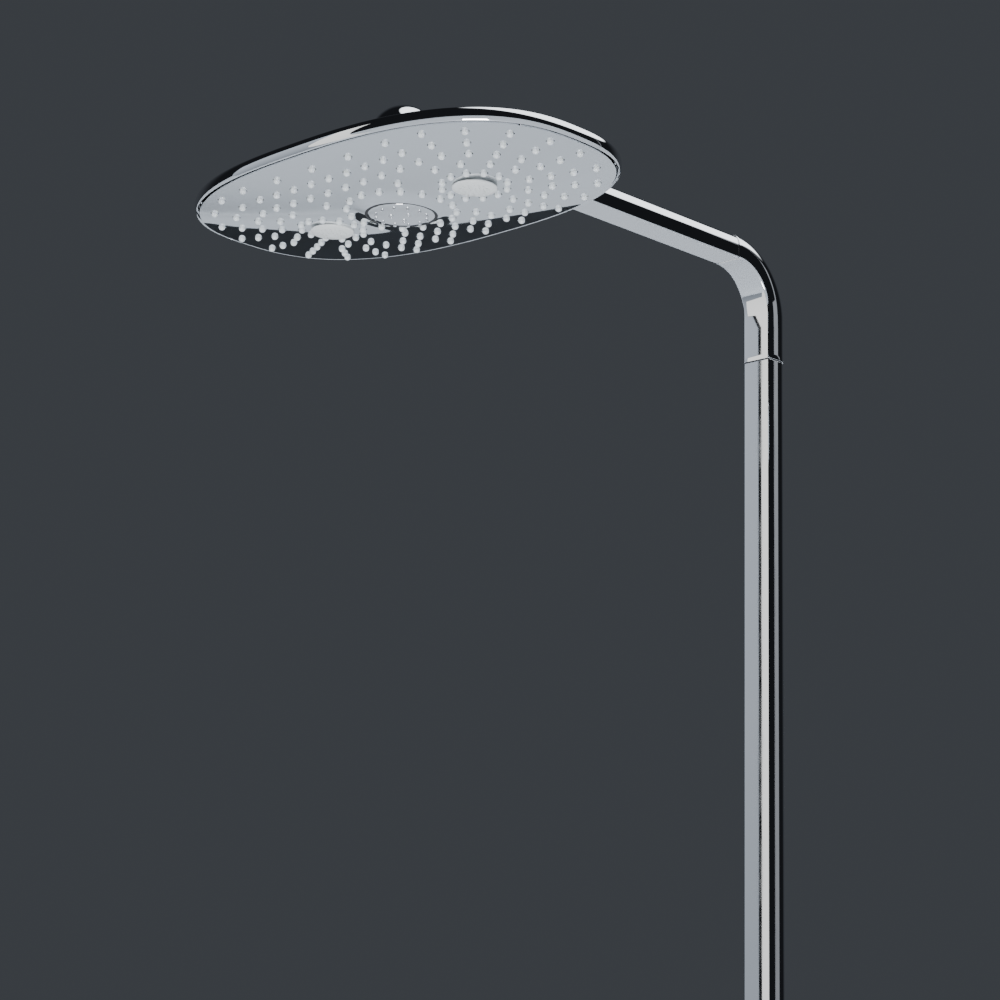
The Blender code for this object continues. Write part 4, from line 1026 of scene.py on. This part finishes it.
def clasp_mesh():
    """Collar of the column's own section, grown outwards and rounded above and below, and its post."""
    half = (collar_high[2] - collar_low[2]) / 2
    wall = 3 * MM
    edge = 1.2 * MM
    rows = []
    for angle in np.linspace(-math.pi / 2, math.pi / 2, 7):
        rows.append((wall - edge + edge * math.cos(angle), -half + edge + edge * math.sin(angle)))
    lower = [row for row in rows if row[1] <= -half + edge + 1e-9]
    upper = [(grow, -height) for grow, height in reversed(lower)]
    outline = lower + upper
    outline += [(0.25 * MM, half), (0.25 * MM, -half)]
    rows = [on_column(height)(tube_section(COLUMN_WIDTH, COLUMN_DEPTH, -grow)) for grow, height in outline]
    clasp = mesh_from_grid("clasp", np.array(rows), True, True)
    start = column_high[1] + 0.9 * MM
    post = soften([
        (0, start), (9 * MM, start), (9 * MM, -9.2 * MM), (6.3 * MM, -9.2 * MM), (6.3 * MM, -28 * MM),
        (0, -28 * MM),
    ], 0.5 * MM)
    return joined("column_clasp", [clasp, lathe("post", post, (0, 0, 0), "Y", 64)])


chrome_piece("column_clasp", clasp_mesh(), "column", "bracket_collar", 45)


# ---- Foot nut and mixer bar -----------------------------------------------------------------
# The column stands in a grooved round nut on the mixer: a plain bar with softened ends,
# two short inlet necks behind and one outlet neck on top.

foot_low, foot_high = corners("foot_nut")
FOOT_RADIUS = (foot_high[0] - foot_low[0]) / 2
foot_middle = (0.0, swivel_axis[1], 0.0)
foot_shape = soften([
    (FOOT_RADIUS - 1.2 * MM, foot_high[2]), (FOOT_RADIUS, foot_high[2] - 1.2 * MM),
    (FOOT_RADIUS, foot_high[2] - 8 * MM), (FOOT_RADIUS - 0.7 * MM, foot_high[2] - 8.4 * MM),
    (FOOT_RADIUS - 0.7 * MM, foot_high[2] - 9.4 * MM), (FOOT_RADIUS, foot_high[2] - 9.8 * MM),
    (FOOT_RADIUS, foot_low[2] + 5 * MM), (FOOT_RADIUS - 0.7 * MM, foot_low[2] + 4.6 * MM),
    (FOOT_RADIUS - 0.7 * MM, foot_low[2] + 3.6 * MM), (FOOT_RADIUS, foot_low[2] + 3.2 * MM),
    (FOOT_RADIUS, foot_low[2] + 1.2 * MM), (FOOT_RADIUS - 1.2 * MM, foot_low[2]), (12.3 * MM, foot_low[2]),
    (12.3 * MM, foot_high[2] - 8 * MM), (9.8 * MM, foot_high[2] - 8 * MM), (9.8 * MM, foot_high[2]),
], 0.6 * MM, 3, True)
foot_mesh = lathe("column_foot_nut", foot_shape, foot_middle, "Z", 96, True)
chrome_piece("column_foot_nut", foot_mesh, "column", "foot_nut", 40)

mixer_low, mixer_high = corners("mixer_body")
BAR_HALF = (mixer_high[0] - mixer_low[0]) / 2
BAR_RADIUS = handle_axis[2] - mixer_low[2]
INLET_X = abs(sum(corners("cold_union"))[0]) / 2
BOSS_RADIUS = 13 * MM
bar_place = (0.0, handle_axis[1], handle_axis[2])


def neck(radius, foot_at, end, flare, hollow):
    """Profile of a round neck rising from the bar: flared at its foot, rounded lip, bored from the end."""
    rows = [(radius + flare * (1 - share) ** 2.5, foot_at + share * 4 * MM) for share in np.linspace(0, 1, 7)]
    lip = soften([rows[-1], (radius, end), (hollow, end), (hollow, foot_at), (0, foot_at)], 0.6 * MM)
    return [(0, foot_at - 4 * MM), (radius + flare, foot_at - 4 * MM)] + rows[:-1] + lip


bar_end = soften([
    (0, BAR_HALF), (16 * MM, BAR_HALF), (BAR_RADIUS - 1.8 * MM, BAR_HALF),
    (BAR_RADIUS, BAR_HALF - 1.8 * MM), (BAR_RADIUS, 0),
], 1.4 * MM, 6)
bar_shape = bar_end + [(radius, -height) for radius, height in reversed(bar_end[:-1])]
mixer_parts = [lathe("bar", bar_shape, bar_place, "X", 128)]
boss_end = mixer_high[1] - handle_axis[1]
inlet_neck = neck(BOSS_RADIUS, 19 * MM, boss_end, 1.5 * MM, 8 * MM)
for side in (-1, 1):
    inlet = (side * INLET_X, handle_axis[1], handle_axis[2])
    mixer_parts.append(lathe("inlet_neck", inlet_neck, inlet, "Y", 64))
outlet_neck = neck(12 * MM, 20.5 * MM, mixer_high[2] - handle_axis[2], 3.5 * MM, 7 * MM)
mixer_parts.append(lathe("outlet_neck", outlet_neck, bar_place, "Z", 64))
chrome_piece("mixer_bar", joined("mixer_bar", mixer_parts), "column", "mixer_body", 45)


# ---- Mixer handles and stop buttons ---------------------------------------------------------
# Each end of the bar carries a fluted handle on a brass spindle. A sprung button stops it
# at the safe temperature, or at the economy flow; the warm side's button is red.

handle_low, handle_high = corners("temperature_handle")
HANDLE_START = handle_low[0]
HANDLE_END = handle_high[0]
HANDLE_RADIUS = (handle_high[2] - handle_low[2]) / 2
button_low, button_high = corners("temperature_button")
BUTTON_X = (button_low[0] + button_high[0]) / 2
FLUTES = 30


def handle_rows():
    """(radius, distance, fluting) from the open rim over the grip to the flat end, then back inside."""
    length = HANDLE_END - HANDLE_START
    rows = [
        (HANDLE_RADIUS - 0.9 * MM, 0.0, 0), (HANDLE_RADIUS - 0.25 * MM, 0.25 * MM, 0),
        (HANDLE_RADIUS, 0.9 * MM, 0),
    ]
    rows += [(HANDLE_RADIUS, share * length, 0) for share in np.linspace(0.05, 0.62, 16)]
    for share in np.linspace(0.64, 0.90, 18):
        depth = math.sin(math.pi * (share - 0.64) / 0.26) ** 0.5
        rows.append((HANDLE_RADIUS, share * length, depth))
    for angle in np.linspace(0, math.pi / 2, 9):
        edge = 3.2 * MM
        round_in = edge * (1 - math.cos(angle))
        rows.append((HANDLE_RADIUS - round_in, length - edge + edge * math.sin(angle), 0))
    rows += [(HANDLE_RADIUS - 8 * MM, length - 0.05 * MM, 0), (0.0, length - 0.5 * MM, 0)]
    inner = HANDLE_RADIUS - 3 * MM
    rows += [
        (0.0, length - 20 * MM, 0), (5.3 * MM, length - 20 * MM, 0), (5.3 * MM, 3 * MM, 0),
        (9 * MM, 3 * MM, 0), (9 * MM, length - 4 * MM, 0), (inner, length - 4 * MM, 0), (inner, 0.0, 0),
    ]
    return rows


def handle_mesh(name, side):
    """Radius = handle radius less a rounded flute wave times the row's fluting; closed by its inner wall."""
    count = 240
    angle = full_turn(count)
    wave = 0.5 + 0.5 * np.cos(FLUTES * angle)
    spokes, along = spokes_about("X" if side > 0 else "-X", angle)
    start = np.array((side * HANDLE_START, handle_axis[1], handle_axis[2]))

    def ring(radius, distance, fluting):
        size = radius - 0.7 * MM * fluting * wave
        return start + size[:, None] * spokes + distance * along

    return mesh_from_grid(name, np.array([ring(*row) for row in handle_rows()]), True, True)


def build_handle(name, side, control, button_name, button_material):
    """Handle with its button hole cut in, and the domed button standing in it."""
    handle = chrome_piece(name, handle_mesh(name, side), control + "_control", control + "_handle", 45)
    button_place = (side * BUTTON_X, handle_axis[1], handle_axis[2])
    hole = soften([
        (0, HANDLE_RADIUS - 6 * MM), (5.75 * MM, HANDLE_RADIUS - 6 * MM),
        (5.75 * MM, HANDLE_RADIUS - 0.9 * MM), (6.6 * MM, HANDLE_RADIUS + 0.1 * MM),
        (6.6 * MM, HANDLE_RADIUS + 4 * MM), (0, HANDLE_RADIUS + 4 * MM),
    ], 0.3 * MM, 3)
    carve(handle, placed(name + "_hole", lathe(name + "_hole", hole, button_place, "Z", 48)))
    top = button_high[2] - handle_axis[2]
    low = button_low[2] - handle_axis[2]
    dome = [(0, top)] + [(share * 4.2 * MM, top - 0.5 * MM * share**2) for share in (0.3, 0.6, 0.85, 1.0)]
    cap = soften([
        (5.4 * MM, top - 1.5 * MM), (5.4 * MM, low + 1.8 * MM), (6.7 * MM, low + 1.8 * MM),
        (6.7 * MM, low), (0, low),
    ], 0.3 * MM, 3)
    finish_piece(
        button_name, lathe(button_name, dome + cap, button_place, "Z", 48), button_material,
        control + "_stop", (control + "_button",), 40,
    )


def gloss_red_finish():
    """Gloss red moulding with a slight orange-peel skin."""
    material, tree, shader = new_finish("red_button")
    shader.inputs["Base Color"].default_value = (0.42, 0.018, 0.014, 1)
    shader.inputs["Roughness"].default_value = 0.22
    relief(tree, noise(tree, 700.0), 0.08, 0.1 * MM, shader)
    return material


gloss_red = gloss_red_finish()
build_handle("warmth_handle", 1, "temperature", "warmth_stop_button", gloss_red)
build_handle("flow_handle", -1, "selector", "flow_stop_button", chrome_finish())


# ---- Wall unions ----------------------------------------------------------------------------
# Chamfered hexagon nuts draw the bar to two threaded unions; bell-shaped escutcheons
# cover the holes in the wall.

nut_low, nut_high = corners("cold_union_nut")
NUT_CORNER = max(nut_high[2] - nut_low[2], nut_high[0] - nut_low[0]) / 2
NUT_LENGTH = nut_high[1] - nut_low[1]
NUT_BORE = 10.8 * MM


def hexagon_nut(name, x):
    """Hexagon radius = flat distance over the cosine to the nearest flat, capped by a cone at both ends."""
    count = 144
    angle = full_turn(count)
    flat = NUT_CORNER * math.cos(math.pi / 6)
    nearest = (angle + math.pi / 6) % (math.pi / 3) - math.pi / 6
    hexagon = flat / np.cos(nearest)
    spokes, along = spokes_about("Y", angle)
    start = np.array((x, nut_low[1], handle_axis[2]))
    rows = []
    chamfer = np.linspace(0, 0.22, 7)
    for share in np.concatenate([chamfer, np.linspace(0.3, 0.7, 3), 0.78 + chamfer]):
        distance = share * NUT_LENGTH
        edge = min(distance, NUT_LENGTH - distance)
        size = np.minimum(hexagon, flat - 0.4 * MM + edge * 1.7)
        rows.append(start + size[:, None] * spokes + distance * along)
    for distance, radius in ((NUT_LENGTH, NUT_BORE), (4 * MM, NUT_BORE), (4 * MM, 13.3 * MM), (0, 13.3 * MM)):
        rows.append(start + radius * spokes + distance * along)
    return mesh_from_grid(name, np.array(rows), True, True)


cover_low, cover_high = corners("cold_escutcheon")
COVER_RADIUS = (cover_high[0] - cover_low[0]) / 2
COVER_DEPTH = -cover_low[1]


def escutcheon_shape():
    """Bell curve: a thin rim on the wall, a hollow sweep inwards and a rounded neck round the union."""
    sweep = []
    for share in np.linspace(0, 1, 16):
        radius = COVER_RADIUS - 0.4 * MM - share * 17 * MM
        bell = share**0.9 * 0.35 + 0.65 * (1 - math.cos(math.pi * share)) / 2
        sweep.append((radius, -3 * MM - (COVER_DEPTH - 3 * MM) * bell))
    outer = [(COVER_RADIUS, -0.3 * MM), (COVER_RADIUS, -2.2 * MM)] + sweep
    neck_rows = [
        (11.5 * MM, -COVER_DEPTH), (10.9 * MM, -COVER_DEPTH + 0.6 * MM), (10.9 * MM, -COVER_DEPTH + 1.6 * MM),
    ]
    inner = [(radius - 1.0 * MM, height + 1.5 * MM) for radius, height in reversed(sweep)]
    return outer + neck_rows + inner + [(COVER_RADIUS - 1.5 * MM, -0.3 * MM)]


for side, word in ((-1, "hot"), (1, "cold")):
    union_x = side * INLET_X
    nut = hexagon_nut(word + "_hexagon_nut", union_x)
    chrome_piece(word + "_hexagon_nut", nut, "column", word + "_union_nut", 28)
    cover = lathe(word + "_wall_cover", escutcheon_shape(), (union_x, 0, handle_axis[2]), "Y", 96, True)
    chrome_piece(word + "_wall_cover", cover, "column", word + "_escutcheon", 45)


# ---- Pieces kept as they were built ---------------------------------------------------------
# Screws, springs, pipes, seals, bushes and cartridges are already true in shape;
# they only take their finishes.

def metal_finish(name, colour, roughness, scale, stretch):
    """Bare machined metal: fine turning marks across the light and a slight change of tone."""
    material, tree, shader = new_finish(name)
    shader.inputs["Metallic"].default_value = 1.0
    place = tree.nodes.new("ShaderNodeTexCoord")
    squeeze = tree.nodes.new("ShaderNodeMapping")
    squeeze.inputs["Scale"].default_value = stretch
    marks = tree.nodes.new("ShaderNodeTexNoise")
    marks.inputs["Scale"].default_value = scale
    marks.inputs["Detail"].default_value = 6.0
    tree.links.new(place.outputs["Object"], squeeze.inputs["Vector"])
    tree.links.new(squeeze.outputs["Vector"], marks.inputs["Vector"])
    height = marks.outputs["Fac"]
    spread(tree, height, roughness - 0.08, roughness + 0.12, shader.inputs["Roughness"])
    mixed(tree, height, [c * 0.88 for c in colour], colour, shader.inputs["Base Color"])
    return material


def acetal_finish():
    """Pale moulded plastic, matt, with faint flow marks."""
    material, tree, shader = new_finish("pale_acetal")
    shader.inputs["Roughness"].default_value = 0.42
    mixed(tree, noise(tree, 60.0), (0.66, 0.67, 0.66), (0.72, 0.73, 0.71), shader.inputs["Base Color"])
    return material


finishes = {
    "plain_brass": metal_finish("plain_brass", (0.62, 0.46, 0.22), 0.30, 90.0, (1, 1, 14)),
    "plain_steel": metal_finish("plain_steel", (0.52, 0.53, 0.54), 0.32, 120.0, (1, 1, 10)),
    "pale_acetal": acetal_finish(),
    "dark_seal": rubber,
    "white_plastic": milky,
    "clear_silicone": silicone,
    "polished_chrome": chrome_finish(),
    "red_button": gloss_red,
}
slots = {subpart["node"]: subpart["material_slot"] for subpart in record["subparts"]}
for node_name, node in frame["nodes"].items():
    node.data.materials.clear()
    node.data.materials.append(finishes[slots[node_name]])
